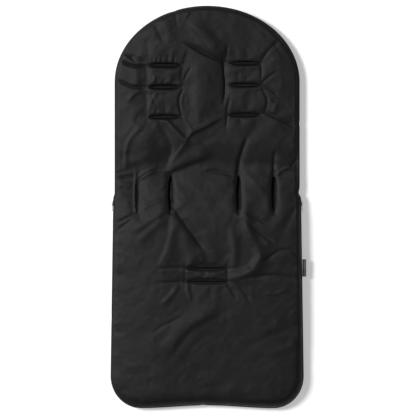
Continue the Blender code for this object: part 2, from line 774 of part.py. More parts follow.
def add_zip(hinge):
    tape_line, coil_line = lower_rim(0.0, Y_WAIST), lower_rim(0.0, Y_COIL)
    coil_low, coil_high = CHAIN_GAP / 2, CHAIN_GAP / 2 + COIL_SIZE
    tape_low, tape_high = coil_high + CLEARANCE, coil_high + CLEARANCE + TAPE_HEIGHT
    for part, sign, carrier in (("back", 1, hinge), ("cover", -1, None)):
        for kind, line, width, near, far, finish in (
            ("tape", tape_line, TAPE_THICKNESS, tape_low, tape_high, ZIP_TAPE),
            ("coil", coil_line, COIL_SIZE, coil_low, coil_high, ZIP_COIL),
        ):
            low, high = sorted((sign * near, sign * far))
            outline = wall_outline(
                ZIP_INSET,
                width,
                lambda y, low=low: chain_height(y) + low,
                lambda y, high=high: chain_height(y) + high,
            )
            add_bar(f"zip_{kind}_{part}", line, outline, finish, carrier)
    for side, sign in (("left", -1), ("right", 1)):
        add_stops(side, sign, hinge)
        add_slider(side, sign, hinge)


def build():
    start_empty()
    hinge = pivot("cover_opening_axis", (0.0, Y_FOOT, HINGE_HEIGHT))
    fold = pivot("hip_fold_axis", (0.0, Y_FOLD, FOLD_HEIGHT), hinge)
    add_head(fold)
    add_seat(hinge)
    add_cover()
    add_zip(hinge)


build()
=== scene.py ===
import json
import math

import bmesh
import bpy
import numpy as np
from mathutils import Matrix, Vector


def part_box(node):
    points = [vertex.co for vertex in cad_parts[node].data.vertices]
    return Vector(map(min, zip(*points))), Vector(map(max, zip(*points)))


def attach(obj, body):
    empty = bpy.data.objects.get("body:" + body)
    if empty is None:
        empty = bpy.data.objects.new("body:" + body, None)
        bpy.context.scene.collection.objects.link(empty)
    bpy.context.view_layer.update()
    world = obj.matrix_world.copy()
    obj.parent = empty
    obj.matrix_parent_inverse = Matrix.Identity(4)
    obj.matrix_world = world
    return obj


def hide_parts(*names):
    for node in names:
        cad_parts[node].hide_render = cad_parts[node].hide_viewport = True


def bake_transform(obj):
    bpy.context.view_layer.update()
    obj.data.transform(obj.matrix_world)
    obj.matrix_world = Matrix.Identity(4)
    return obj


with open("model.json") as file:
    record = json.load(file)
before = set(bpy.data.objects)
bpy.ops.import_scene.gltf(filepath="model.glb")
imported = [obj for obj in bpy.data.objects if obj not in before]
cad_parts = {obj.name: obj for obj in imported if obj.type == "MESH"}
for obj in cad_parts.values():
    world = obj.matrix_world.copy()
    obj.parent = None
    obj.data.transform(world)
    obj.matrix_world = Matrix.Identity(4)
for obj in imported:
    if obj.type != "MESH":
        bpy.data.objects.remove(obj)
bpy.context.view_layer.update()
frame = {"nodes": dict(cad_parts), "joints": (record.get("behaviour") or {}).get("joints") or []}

# Camera
# The photograph looks straight down from far away, with the origin a little left of its middle. Each of its
# pixels is close to 2.5 mm of the footmuff.
PIXEL = 0.002482
PHOTO_SIDE = 416
ORIGIN_PIXEL = np.array((207.15, 206.95))
CAMERA_HEIGHT = 9.0
SUBJECT_HEIGHT = 0.030
SENSOR = 36.0


def on_footmuff(pixels):
    """Photograph pixels to x and y in metres: the way from the origin's pixel, times a pixel's size."""
    return (np.asarray(pixels, float) - ORIGIN_PIXEL) * (PIXEL, -PIXEL)


eye = bpy.data.objects.new("camera", bpy.data.cameras.new("camera"))
bpy.context.scene.collection.objects.link(eye)
eye.data.sensor_width = SENSOR
eye.data.lens = SENSOR * (CAMERA_HEIGHT - SUBJECT_HEIGHT) / (PHOTO_SIDE * PIXEL)
middle_x, middle_y = on_footmuff((PHOTO_SIDE / 2, PHOTO_SIDE / 2))
eye.location = (middle_x, middle_y, CAMERA_HEIGHT)
bpy.context.scene.camera = eye
bpy.context.scene.view_settings.view_transform = "Standard"

# Cut of the back
# The lining, wadding and shell of the back are cut to one outline: a half-ellipse at the head, nearly
# straight sides that step out where the zip starts, and round corners at the foot.
HEAD_ARC_RISE = 0.190
CORNER_ACROSS = 0.075
CORNER_ALONG = 0.080
FOOT_HOLLOW = 0.007
FLARE_RUN = 0.015
LAYER_INSET = 0.0023
joints = {joint["name"]: joint for joint in frame["joints"]}
foot_low, foot_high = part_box("seat_edge_binding")
head_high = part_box("head_edge_binding")[1]
FOOT_HALF = foot_high.x
HEAD_HALF = head_high.x
WAIST_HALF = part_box("cover_top_hem")[1].x + LAYER_INSET
Y_HEAD = head_high.y
Y_FOOT = foot_low.y
Y_FOLD = joints["hip_fold"]["pos_m"][1]
Y_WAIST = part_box("cover_edge_binding")[1].y
Y_ARC = Y_HEAD - HEAD_ARC_RISE
Y_CORNER = Y_FOOT + CORNER_ALONG
HALF_ARC_STEPS = 60
SIDE_STEPS = 360
CORNER_STEPS = 30
FOOT_STEPS = 60
FOOT_CUT = 2 * HALF_ARC_STEPS + SIDE_STEPS + CORNER_STEPS
LEAST_LENGTH = 1e-9
BLOCK_SIZE = 2000000
# Places where the sewn edge is nicked: pixel, depth and reach in metres
EDGE_NICKS = (
    ((174.6, 13.6), 0.0022, 0.009),
    ((298.6, 123.6), 0.0016, 0.005),
    ((296.6, 192.6), 0.0055, 0.009),
    ((116.0, 318.0), 0.0010, 0.012),
    ((202.8, 405.5), 0.0015, 0.008),
)


def smooth(share):
    """0 to 1 with level ends: 3t^2 - 2t^3."""
    t = np.clip(share, 0.0, 1.0)
    return t * t * (3.0 - 2.0 * t)


def roll(share):
    """0 to 1 along a quarter circle that starts steep and ends level."""
    t = np.clip(share, 0.0, 1.0)
    return np.sqrt(t * (2.0 - t))


def plan(x, y):
    return np.stack(np.broadcast_arrays(x, y), axis=-1).astype(float)


def unit(vectors):
    return vectors / np.linalg.norm(vectors, axis=1)[:, None]


def inwards(line):
    """The unit normals of a line, to the right of its way."""
    step = unit(np.gradient(line, axis=0))
    return plan(step[:, 1], -step[:, 0])


def around(count):
    return np.linspace(0.0, 2 * math.pi, count, endpoint=False)


def half_width(y):
    """The head's half width down to the flare, the waist's where the zip starts, then an even taper."""
    flare = smooth((Y_WAIST + FLARE_RUN - y) / FLARE_RUN)
    taper = np.clip((Y_WAIST - y) / (Y_WAIST - Y_CORNER), 0.0, 1.0)
    return HEAD_HALF + (WAIST_HALF - HEAD_HALF) * flare + (FOOT_HALF - WAIST_HALF) * taper


def side_line(side, inset):
    """One side's outline from the head's middle to the foot's middle: a quarter ellipse, the side, the
    corner's quarter ellipse and the slightly hollow foot end, moved inwards by inset along its normals."""
    turn = np.linspace(math.pi / 2, 0.0, 2 * HALF_ARC_STEPS + 1)
    head = plan(HEAD_HALF * np.cos(turn), Y_ARC + HEAD_ARC_RISE * np.sin(turn))
    y = np.linspace(Y_ARC, Y_CORNER, SIDE_STEPS + 1)[1:]
    edge = plan(half_width(y), y)
    turn = np.linspace(0.0, math.pi / 2, 2 * CORNER_STEPS + 1)[1:]
    centre = FOOT_HALF - CORNER_ACROSS
    corner = plan(centre + CORNER_ACROSS * np.cos(turn), Y_CORNER - CORNER_ALONG * np.sin(turn))
    x = np.linspace(centre, 0.0, FOOT_STEPS + 1)[1:]
    end = plan(x, Y_FOOT + FOOT_HOLLOW * (1.0 + np.cos(math.pi * x / centre)) / 2)
    line = np.concatenate([head, edge, corner, end])
    depth = np.full(len(line), inset)
    for pixel, nick, reach in EDGE_NICKS:
        away = np.linalg.norm(line * (side, 1.0) - on_footmuff(pixel), axis=1)
        depth += nick * np.exp(-((away / reach) ** 2))
    return (line + depth[:, None] * inwards(line)) * (side, 1.0)


def length_along(line):
    steps = np.linalg.norm(np.diff(line, axis=0), axis=1)
    return np.concatenate([[0.0], np.cumsum(steps)])


def at_lengths(line, run, at):
    """The places on a line at the lengths at, where its own points lie at the lengths run."""
    return np.stack([np.interp(at, run, column) for column in line.T], axis=1)


def spaced(line, count):
    """The line with count points at equal steps of its length."""
    run = length_along(line)
    return at_lengths(line, run, np.linspace(0.0, run[-1], count))


def patch(west, east, foot, top):
    """A grid between four edges, foot row first, as their Coons patch: the two blends across, less the
    corners' blend."""
    u = np.linspace(0.0, 1.0, len(foot))[None, :, None]
    v = np.linspace(0.0, 1.0, len(west))[:, None, None]
    across = (1 - v) * foot[None] + v * top[None]
    along = (1 - u) * west[:, None] + u * east[:, None]
    corners = (1 - v) * ((1 - u) * foot[0] + u * foot[-1]) + v * ((1 - u) * top[0] + u * top[-1])
    return across + along - corners


def foot_edge(left, right, columns):
    """The outline round the foot, from the middle of the left corner's arc to that of the right one."""
    return spaced(np.concatenate([left[FOOT_CUT:], right[FOOT_CUT:-1][::-1]]), columns)


def back_plan(rows, columns, inset=LAYER_INSET):
    """A grid over the back, whose edges are the outline cut at the middles of the head's and the corners'
    arcs."""
    left, right = side_line(-1.0, inset), side_line(1.0, inset)
    head_cut = HALF_ARC_STEPS
    top = spaced(np.concatenate([left[: head_cut + 1][::-1], right[1 : head_cut + 1]]), columns)
    west, east = (spaced(line[head_cut : FOOT_CUT + 1][::-1], rows) for line in (left, right))
    return patch(west, east, foot_edge(left, right, columns), top)


def beside(line, points):
    """Each point's distance to the nearest stretch of a line, the length along the line to that place, and 1
    or -1 as the point lies on the line's left or right. Worked out in blocks that fit in memory."""
    start, run = line[:-1], np.diff(line, axis=0)
    lengths = np.maximum(np.linalg.norm(run, axis=1), LEAST_LENGTH)
    before = length_along(line)[:-1]
    found = []
    for block in np.array_split(points.reshape(-1, 2), 1 + points.size * len(run) // BLOCK_SIZE):
        rel = block[:, None, :] - start[None]
        t = np.clip((rel * run).sum(axis=2) / lengths**2, 0.0, 1.0)
        away = np.linalg.norm(rel - t[..., None] * run, axis=2)
        pick = away.argmin(axis=1)
        row = np.arange(len(block))
        turn = run[pick, 0] * rel[row, pick, 1] - run[pick, 1] * rel[row, pick, 0]
        along = before[pick] + t[row, pick] * lengths[pick]
        found.append(np.stack([away[row, pick], along, np.where(turn < 0.0, -1.0, 1.0)]))
    return np.concatenate(found, axis=1).reshape((3,) + points.shape[:-1])


def distance_to(line, points):
    return beside(line, points)[0]


# Harness slots
# Each slot is a slit through the whole back, and the CAD's binding of each slot gives its place. The
# photograph shows the outermost left one nearly shut.
SLOT_CLEARANCE = 0.0003
SHUT_SLOT = "waist_slot_left_outer"
SHUT_SHARE = 0.45
HOLE_POWER = 3.0
slots = {}
for node in sorted(frame["nodes"]):
    if "_slot_" in node:
        low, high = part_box(node)
        size = high - low
        open_share = SHUT_SHARE if SHUT_SLOT in node else 1.0
        slots[node.removesuffix("_binding")] = {
            "middle": np.array(((low.x + high.x) / 2, (low.y + high.y) / 2)),
            "upright": size.y > size.x,
            "half_length": max(size.x, size.y) / 2 + SLOT_CLEARANCE,
            "half_width": (min(size.x, size.y) / 2 + SLOT_CLEARANCE) * open_share,
            "body": "head_back" if node.startswith("shoulder") else "seat_back",
        }


def along_and_across(slot, points):
    """Points as seen from the slot: along it and across it, from its middle."""
    rel = points - slot["middle"]
    return (rel[..., 1], rel[..., 0]) if slot["upright"] else (rel[..., 0], rel[..., 1])


def hole_half_width(slot, along):
    """The slit's half width: full in the middle and running out to a point at both ends."""
    share = np.clip(np.abs(along) / slot["half_length"], 0.0, 1.0)
    return slot["half_width"] * (1.0 - share**HOLE_POWER)


def beyond_hole(slot, points):
    """How far points lie outside the slit, below zero inside it."""
    along, across = along_and_across(slot, points)
    past = np.maximum(np.abs(along) - slot["half_length"], 0.0)
    return np.hypot(past, np.maximum(np.abs(across) - hole_half_width(slot, along), 0.0)) - np.maximum(
        hole_half_width(slot, along) - np.abs(across), 0.0
    )


def nearest_slot(points):
    return np.stack([beyond_hole(slot, points) for slot in slots.values()]).min(axis=0)


# Heights of the back
# The head part lies on the floor, and the seat part on the closed cover, so that the back rises over the
# pocket. From its sewn edge the top rolls up quickly and then swells slowly, and it is drawn down along each
# slot. The seat is flatter towards the right, and the head falls away to the right.
HEAD_CREST = 0.032
FOLD_CREST = 0.0255
SEAT_CREST = 0.041
HEAD_RISE_RUN = 0.060
SEAT_RISE_RUN = 0.140
EDGE_ROLL = 0.012
EDGE_ROLL_SHARE = 0.40
END_ROLL = 0.035
# How far the slow swell reaches in from the left and from the right side, at the seat and at the head
SWELL_LEFT = (0.140, 0.090)
SWELL_RIGHT = (0.110, 0.430)
HEAD_LEVEL_SHARE = 0.85
FLAT_SHARE = 0.42
FLAT_RUN = 0.15
FOOT_FLAT_FROM = 0.22
FOOT_FLAT_RUN = 0.14
FOOT_ROLL = 0.022
FOOT_EDGE_THINNER = 0.5
# How far the top is drawn down at each slot's rim, and how far round it that reaches
DENTS = {"shoulder": (0.0035, 0.008), SHUT_SLOT: (0.0002, 0.004), "waist": (0.0060, 0.013),
         "crotch": (0.0040, 0.009)}
CHAIN_AT_FOOT = 0.012
CHAIN_AT_WAIST = 0.012
EDGE_OVER_CHAIN = 0.0058
EDGE_THICKNESS = 0.0058
HEAD_EDGE_LIFT = 0.016
POCKET_ROOF = 0.026
ROOF_TOUCH_RUN = 0.055
ROOF_RISE_RUN = 0.090
SLOPE_REACH = 0.060
back_rim = np.concatenate([side_line(1.0, LAYER_INSET)[::4], side_line(-1.0, LAYER_INSET)[::-4]])


def chain_height(y):
    share = (y - Y_FOOT) / (Y_WAIST - Y_FOOT)
    return CHAIN_AT_FOOT + (CHAIN_AT_WAIST - CHAIN_AT_FOOT) * share


def at_foot(y):
    return smooth((Y_FOOT + FOOT_FLAT_FROM - y) / FOOT_FLAT_RUN)


def edge_low(y):
    over_zip = chain_height(np.minimum(y, Y_WAIST)) + EDGE_OVER_CHAIN
    return over_zip + (HEAD_EDGE_LIFT - over_zip) * smooth((y - Y_WAIST) / (Y_FOLD - Y_WAIST))


def edge_high(y):
    return edge_low(y) + EDGE_THICKNESS * (1.0 - FOOT_EDGE_THINNER * at_foot(y))


def underside(points):
    """The lining's lower face: from the edge down to the floor or to the pocket's roof over SLOPE_REACH."""
    y = points[..., 1]
    roof = POCKET_ROOF * smooth((Y_WAIST + ROOF_TOUCH_RUN - y) / ROOF_RISE_RUN)
    low = edge_low(y)
    return low + (roof - low) * smooth(distance_to(back_rim, points) / SLOPE_REACH)


def crest(y):
    head = FOLD_CREST + (HEAD_CREST - FOLD_CREST) * smooth((y - Y_FOLD) / HEAD_RISE_RUN)
    seat = FOLD_CREST + (SEAT_CREST - FOLD_CREST) * smooth((Y_FOLD - y) / SEAT_RISE_RUN)
    return np.where(y > Y_FOLD, head, seat)


def swell(points):
    """0 at the sides to 1, the parabola of the way in from the left times that of the way in from the right.
    The head counts as no narrower than HEAD_LEVEL_SHARE of its greatest half width."""
    x, y = points[..., 0], points[..., 1]
    side = side_line(1.0, LAYER_INSET)[: 2 * HALF_ARC_STEPS + SIDE_STEPS + 2 * CORNER_STEPS]
    half = np.maximum(np.interp(-y, -side[:, 1], side[:, 0]), HEAD_LEVEL_SHARE * HEAD_HALF)
    at_head = smooth((y - Y_FOLD) / FLAT_RUN)
    shares = []
    for way, (seat, head) in ((half + x, SWELL_LEFT), (half - x, SWELL_RIGHT)):
        shares.append(1.0 - (1.0 - np.clip(way / (seat + (head - seat) * at_head), 0.0, 1.0)) ** 2)
    return shares[0] * shares[1]


def crown(points):
    """The top between the slots: part of the rise from the edge to the crest is a quarter circle over
    EDGE_ROLL, and the rest is the slow swell, which ends in a quarter circle over END_ROLL at head and
    foot."""
    inland = distance_to(back_rim, points)
    x, y = points[..., 0], points[..., 1]
    rolled = EDGE_ROLL_SHARE + FLAT_SHARE * smooth(x / FLAT_RUN) * smooth((Y_FOLD - y) / FLAT_RUN)
    over = EDGE_ROLL + (FOOT_ROLL - EDGE_ROLL) * at_foot(y)
    share = rolled * roll(inland / over) + (1 - rolled) * swell(points) * roll(inland / END_ROLL)
    low = edge_high(y)
    return low + (crest(y) - low) * share


def settings_of(name, table):
    """The entry of a table that a slot's name starts with, its own before its kind's."""
    return next(value for key, value in table.items() if name.startswith(key))


def sewn_top(points):
    """The crown, less the dent at the rims of the slots, which rolls out round each of them."""
    dent = np.zeros(points.shape[:-1])
    for name, slot in slots.items():
        drop, reach = settings_of(name, DENTS)
        dent = np.maximum(dent, drop * (1.0 - roll(beyond_hole(slot, points) / reach)))
    return crown(points) - dent


def grid_faces(rows, columns, round_rows=False, round_columns=False):
    """The quads of a grid of points, closed in either direction when asked."""
    index = np.arange(rows * columns).reshape(rows, columns)
    if round_rows:
        index = np.concatenate([index, index[:1]])
    if round_columns:
        index = np.concatenate([index, index[:, :1]], axis=1)
    quads = (index[:-1, :-1], index[:-1, 1:], index[1:, 1:], index[1:, :-1])
    return np.stack(quads, axis=-1).reshape(-1, 4)


def lay_mesh(name, points, faces, uv=None):
    """A smooth-shaded piece from an array of points and an array of faces, with a uv for each point."""
    mesh = bpy.data.meshes.new(name)
    groups = faces if isinstance(faces, list) else [faces]
    quads = [face for group in groups for face in group.tolist()]
    mesh.from_pydata(points.reshape(-1, 3).tolist(), [], quads)
    mesh.validate()
    mesh.shade_smooth()
    if uv is not None:
        corner = np.empty(len(mesh.loops), np.int32)
        mesh.loops.foreach_get("vertex_index", corner)
        layer = mesh.uv_layers.new(name="along")
        layer.data.foreach_set("uv", uv.reshape(-1, 2)[corner].astype(np.float32).ravel())
    piece = bpy.data.objects.new(name, mesh)
    bpy.context.scene.collection.objects.link(piece)
    return piece


def open_slots(points, faces, grow=0.0):
    """Cuts the slits, grown outwards by grow, out of a plan grid: faces wholly inside a slit go, and the
    inner points of the faces that straddle its edge move across it onto the edge. Gives the moved plan and
    the faces that stay."""
    flat = points.reshape(-1, 2).copy()
    for slot in slots.values():
        inside = beyond_hole(slot, flat) < grow
        faces = faces[~inside[faces].all(axis=1)]
        along, across = along_and_across(slot, flat[inside])
        edge = np.where(across < 0.0, -1.0, 1.0) * (hole_half_width(slot, along) + grow)
        moved = plan(edge, along) if slot["upright"] else plan(along, edge)
        flat[inside] = slot["middle"] + moved
    return flat, faces


def slab(name, top, bottom, faces):
    """A closed body: the top points' faces, the bottom points' faces turned over, and a wall along each edge
    that belongs to one face only."""
    count = len(top)
    pairs = np.stack([faces, np.roll(faces, -1, axis=1)], axis=-1).reshape(-1, 2)
    keys = pairs[:, 0] * count + pairs[:, 1]
    alone = pairs[~np.isin(pairs[:, 1] * count + pairs[:, 0], keys)]
    walls = np.stack([alone[:, 1], alone[:, 0], alone[:, 0] + count, alone[:, 1] + count], axis=1)
    closed = np.concatenate([faces, faces[:, ::-1] + count, walls])
    return lay_mesh(name, np.concatenate([top, bottom]), closed)


def with_height(points, height):
    return np.concatenate([points, np.asarray(height)[..., None]], axis=-1)


# Lining of the back
# A brushed fleece inner face, cut with the same slits. It shows from below, and inside the pocket when the
# cover is opened.
LINING_ROWS, LINING_COLUMNS = 200, 96
LINING_THICKNESS = 0.0012


def across_fold(piece):
    """Puts the piece's placement into its mesh and leaves it where it was built."""
    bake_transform(piece)


lining_plan, lining_faces = open_slots(
    back_plan(LINING_ROWS, LINING_COLUMNS), grid_faces(LINING_ROWS, LINING_COLUMNS)
)
lining_low = with_height(lining_plan, underside(lining_plan))
back_lining = slab("back_lining", lining_low + (0.0, 0.0, LINING_THICKNESS), lining_low, lining_faces)
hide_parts("head_lining", "seat_lining")
across_fold(back_lining)


def new_group(name, inputs, outputs):
    """An empty shader node group: inputs are (socket name, type, value), outputs are (socket name, type)."""
    group = bpy.data.node_groups.new(name, "ShaderNodeTree")
    for socket, kind, value in inputs:
        made = group.interface.new_socket(name=socket, in_out="INPUT", socket_type=f"NodeSocket{kind}")
        made.default_value = value
    for socket, kind in outputs:
        group.interface.new_socket(name=socket, in_out="OUTPUT", socket_type=f"NodeSocket{kind}")
    return group, group.nodes.new("NodeGroupInput"), group.nodes.new("NodeGroupOutput")


def finish_group(name, inputs):
    """An empty group that gives a colour, a height and a roughness."""
    return new_group(name, inputs, [("Colour", "Color"), ("Height", "Float"), ("Roughness", "Float")])


def give(tree, made, colour, height, roughness):
    """Links what a finish group gives to its outputs."""
    for socket, value in (("Colour", colour), ("Height", height), ("Roughness", roughness)):
        tree.links.new(value, made.inputs[socket])


def math_node(tree, operation, *values):
    """A Math node whose inputs are numbers or other nodes' sockets; gives its output."""
    node = tree.nodes.new("ShaderNodeMath")
    node.operation = operation
    for socket, value in zip(node.inputs, values):
        if isinstance(value, (int, float)):
            socket.default_value = value
        else:
            tree.links.new(value, socket)
    return node.outputs[0]


def scaled(tree, value, factor, offset):
    """A value times a factor, plus an offset."""
    return math_node(tree, "ADD", math_node(tree, "MULTIPLY", value, factor), offset)


def noise_node(tree, place, scale, detail=2.0, stretch=(1.0, 1.0, 1.0)):
    """Noise at a scale per metre, drawn out where stretch is below 1; gives its value."""
    mapping = tree.nodes.new("ShaderNodeMapping")
    mapping.inputs["Scale"].default_value = stretch
    tree.links.new(place, mapping.inputs["Vector"])
    noise = tree.nodes.new("ShaderNodeTexNoise")
    noise.inputs["Scale"].default_value = scale
    noise.inputs["Detail"].default_value = detail
    tree.links.new(mapping.outputs[0], noise.inputs["Vector"])
    return noise.outputs["Fac"]


def tinted(tree, colour, factor):
    """A colour made lighter or darker by a factor; gives the colour socket."""
    mix = tree.nodes.new("ShaderNodeVectorMath")
    mix.operation = "SCALE"
    tree.links.new(colour, mix.inputs[0])
    tree.links.new(factor, mix.inputs["Scale"])
    return mix.outputs[0]


def pile_group():
    """Brushed pile: fine noise stands up as fibres, and wider noise darkens and lightens it in patches."""
    tree, given, made = finish_group(
        "brushed_pile", [("Colour", "Color", (0.05, 0.05, 0.05, 1.0)), ("Patches", "Float", 0.3)])
    place = tree.nodes.new("ShaderNodeTexCoord").outputs["Object"]
    fibres = noise_node(tree, place, 900.0, 3.0)
    tufts = noise_node(tree, place, 160.0, 2.0)
    patches = noise_node(tree, place, 22.0, 2.0)
    swing = math_node(tree, "MULTIPLY", math_node(tree, "SUBTRACT", patches, 0.5), given.outputs["Patches"])
    speck = math_node(tree, "MULTIPLY", math_node(tree, "SUBTRACT", fibres, 0.5), 0.9)
    factor = math_node(tree, "ADD", math_node(tree, "ADD", swing, speck), 1.0)
    give(tree, made, tinted(tree, given.outputs["Colour"], factor), scaled(tree, fibres, 0.5, tufts),
         scaled(tree, patches, 0.1, 0.86))
    return tree


def principled(name, colour, roughness, metallic=0.0):
    """A material with its Principled shader set to plain values; gives it, its tree and the shader."""
    material = bpy.data.materials.new(name)
    material.use_nodes = True
    shader = material.node_tree.nodes["Principled BSDF"]
    shader.inputs["Base Color"].default_value = (*colour, 1.0)
    shader.inputs["Roughness"].default_value = roughness
    shader.inputs["Metallic"].default_value = metallic
    return material, material.node_tree, shader


def finish_with(tree, shader, group, values, bump):
    """Puts a finish group in front of a shader: its colour, roughness, and its height as a bump so deep."""
    node = tree.nodes.new("ShaderNodeGroup")
    node.node_tree = group
    for socket, value in values.items():
        node.inputs[socket].default_value = value
    tree.links.new(node.outputs["Colour"], shader.inputs["Base Color"])
    tree.links.new(node.outputs["Roughness"], shader.inputs["Roughness"])
    rise = tree.nodes.new("ShaderNodeBump")
    rise.inputs["Distance"].default_value = bump
    tree.links.new(node.outputs["Height"], rise.inputs["Height"])
    tree.links.new(rise.outputs["Normal"], shader.inputs["Normal"])
    return node


brushed_pile = pile_group()


def pile_finish(name, colour, roughness, patches, bump):
    material, tree, shader = principled(name, colour, roughness)
    finish_with(tree, shader, brushed_pile, {"Colour": (*colour, 1.0), "Patches": patches}, bump)
    return material, shader


fleece, shader = pile_finish("grey_fleece", (0.045, 0.046, 0.050), 0.9, 0.35, 0.0006)
shader.inputs["Specular IOR Level"].default_value = 0.2
shader.inputs["Sheen Weight"].default_value = 0.25
back_lining.data.materials.append(fleece)

# Loft of the back
# The shell is sewn down round every slot and along the edge, and the wadding puffs it up between them, so
# that it puckers at the seams. It is inflated as cloth that is held there.
SIM_ROWS, SIM_COLUMNS = 176, 84
PIN_REACH = 0.0015
SLACK_MOST = 0.006
SLACK_REACH = 0.040
SLACK_LEVELS = 11
PUFF_PRESSURE = 0.5
PUFF_FRAMES = 24
BROAD_CELLS = 5.0
BROAD_SHARE = 0.20
FINE_SHARE = 0.60
LOFT_REACH = 0.100


def finer(values, count):
    """Rows on a finer spacing: the cubic through the four nearest rows (Catmull-Rom)."""
    last = len(values) - 1
    place = np.linspace(0.0, last, count)
    first = np.minimum(place.astype(int), last - 1)
    t = (place - first).reshape((-1,) + (1,) * (values.ndim - 1))
    held = np.concatenate([2 * values[:1] - values[1:2], values, 2 * values[-1:] - values[-2:-1]])
    a, b, c, d = (held[first + k] for k in range(4))
    return b + t / 2 * (c - a + t * (2 * a - 5 * b + 4 * c - d + t * (3 * (b - c) + d - a)))


def between(values, rows, columns):
    return np.moveaxis(finer(np.moveaxis(finer(values, rows), 1, 0), columns), 0, 1)


def blurred(values, cells):
    """Rows averaged with their neighbours, weighted by a bell so many cells wide."""
    row = np.arange(len(values))
    weight = np.exp(-(((row[:, None] - row[None]) / cells) ** 2))
    return np.tensordot(weight / weight.sum(axis=1, keepdims=True), values, axes=1)


def inflate(start, pinned, slack):
    """The grid of points as a cloth with spare area, pushed up by air while its pinned points stay."""
    rows, columns = start.shape[:2]
    cloth = lay_mesh("inflating", start, grid_faces(rows, columns))
    group = cloth.vertex_groups.new(name="held")
    group.add(np.flatnonzero(pinned).tolist(), 1.0, "REPLACE")
    spare = cloth.vertex_groups.new(name="spare")
    level = np.rint((1.0 - slack / SLACK_MOST) * (SLACK_LEVELS - 1)).astype(int).ravel()
    for step in range(SLACK_LEVELS):
        spare.add(np.flatnonzero(level == step).tolist(), step / (SLACK_LEVELS - 1), "REPLACE")
    modifier = cloth.modifiers.new("cloth", "CLOTH")
    settings = modifier.settings
    settings.quality = 6
    settings.mass = 0.15
    settings.use_pressure = True
    settings.uniform_pressure_force = PUFF_PRESSURE
    settings.tension_stiffness = 15.0
    settings.compression_stiffness = 15.0
    settings.shear_stiffness = 5.0
    settings.bending_stiffness = 2.0
    settings.vertex_group_mass = "held"
    settings.vertex_group_shrink = "spare"
    settings.shrink_min = -SLACK_MOST
    settings.shrink_max = 0.0
    settings.effector_weights.gravity = 0.0
    modifier.collision_settings.use_collision = False
    modifier.point_cache.frame_end = PUFF_FRAMES
    for step in range(1, PUFF_FRAMES + 1):
        bpy.context.scene.frame_set(step)
    shaped = cloth.evaluated_get(bpy.context.evaluated_depsgraph_get())
    found = np.empty(start.size)
    shaped.data.vertices.foreach_get("co", found)
    bpy.data.objects.remove(cloth, do_unlink=True)
    bpy.context.scene.frame_set(1)
    return found.reshape(start.shape)


sim_plan = back_plan(SIM_ROWS, SIM_COLUMNS)
slot_away = nearest_slot(sim_plan)
held = slot_away < PIN_REACH
held[[0, -1]] = True
held[:, [0, -1]] = True
start = with_height(sim_plan, sewn_top(sim_plan))
slack = SLACK_MOST * np.exp(-((slot_away / SLACK_REACH) ** 2))
loft = inflate(start, held, slack) - start
broad = blurred(blurred(loft, BROAD_CELLS).swapaxes(0, 1), BROAD_CELLS).swapaxes(0, 1)
loft = FINE_SHARE * (loft - broad) + BROAD_SHARE * broad
loft *= np.exp(-((slot_away / LOFT_REACH) ** 2))[..., None]

# Folds of the shell
# To the loft come the folds and creases that the photograph shows, gathers along the edge's seam and a little
# unevenness, which gives the height of the outer shell everywhere.
SHELL_ROWS, SHELL_COLUMNS = 460, 220
SEAM_REACH = 0.004
FOLD_FADE_SHARE = 0.30
SWELL_POWER = 2.0
CREASE_POWER = 1.5
FOLD_SIGHT = 3.2
FOLD_CURVE_STEPS = 24
FOLD_STEPS = 12
MILLIMETRES = 1000
# Gathers along the edge's seam: how far apart, how high, and how far inside the edge they are highest
GATHERS = ((0.008, 0.00022, 0.005), (0.015, 0.00034, 0.010), (0.030, 0.00022, 0.018))
GATHERS_LEFT_AT_HEAD = 0.15
GATHERS_RUN = 0.25
GATHER_STEPS = 4000
SEAM_INSET = 0.0055
SEAM_GROOVE = 0.0007
SEAM_GROOVE_REACH = 0.0020
# Uneven wadding under the shell: how far apart its lumps are, and how high
LUMPS = ((0.010, 0.00011), (0.022, 0.00022), (0.060, 0.00040))
chance = np.random.default_rng(12)
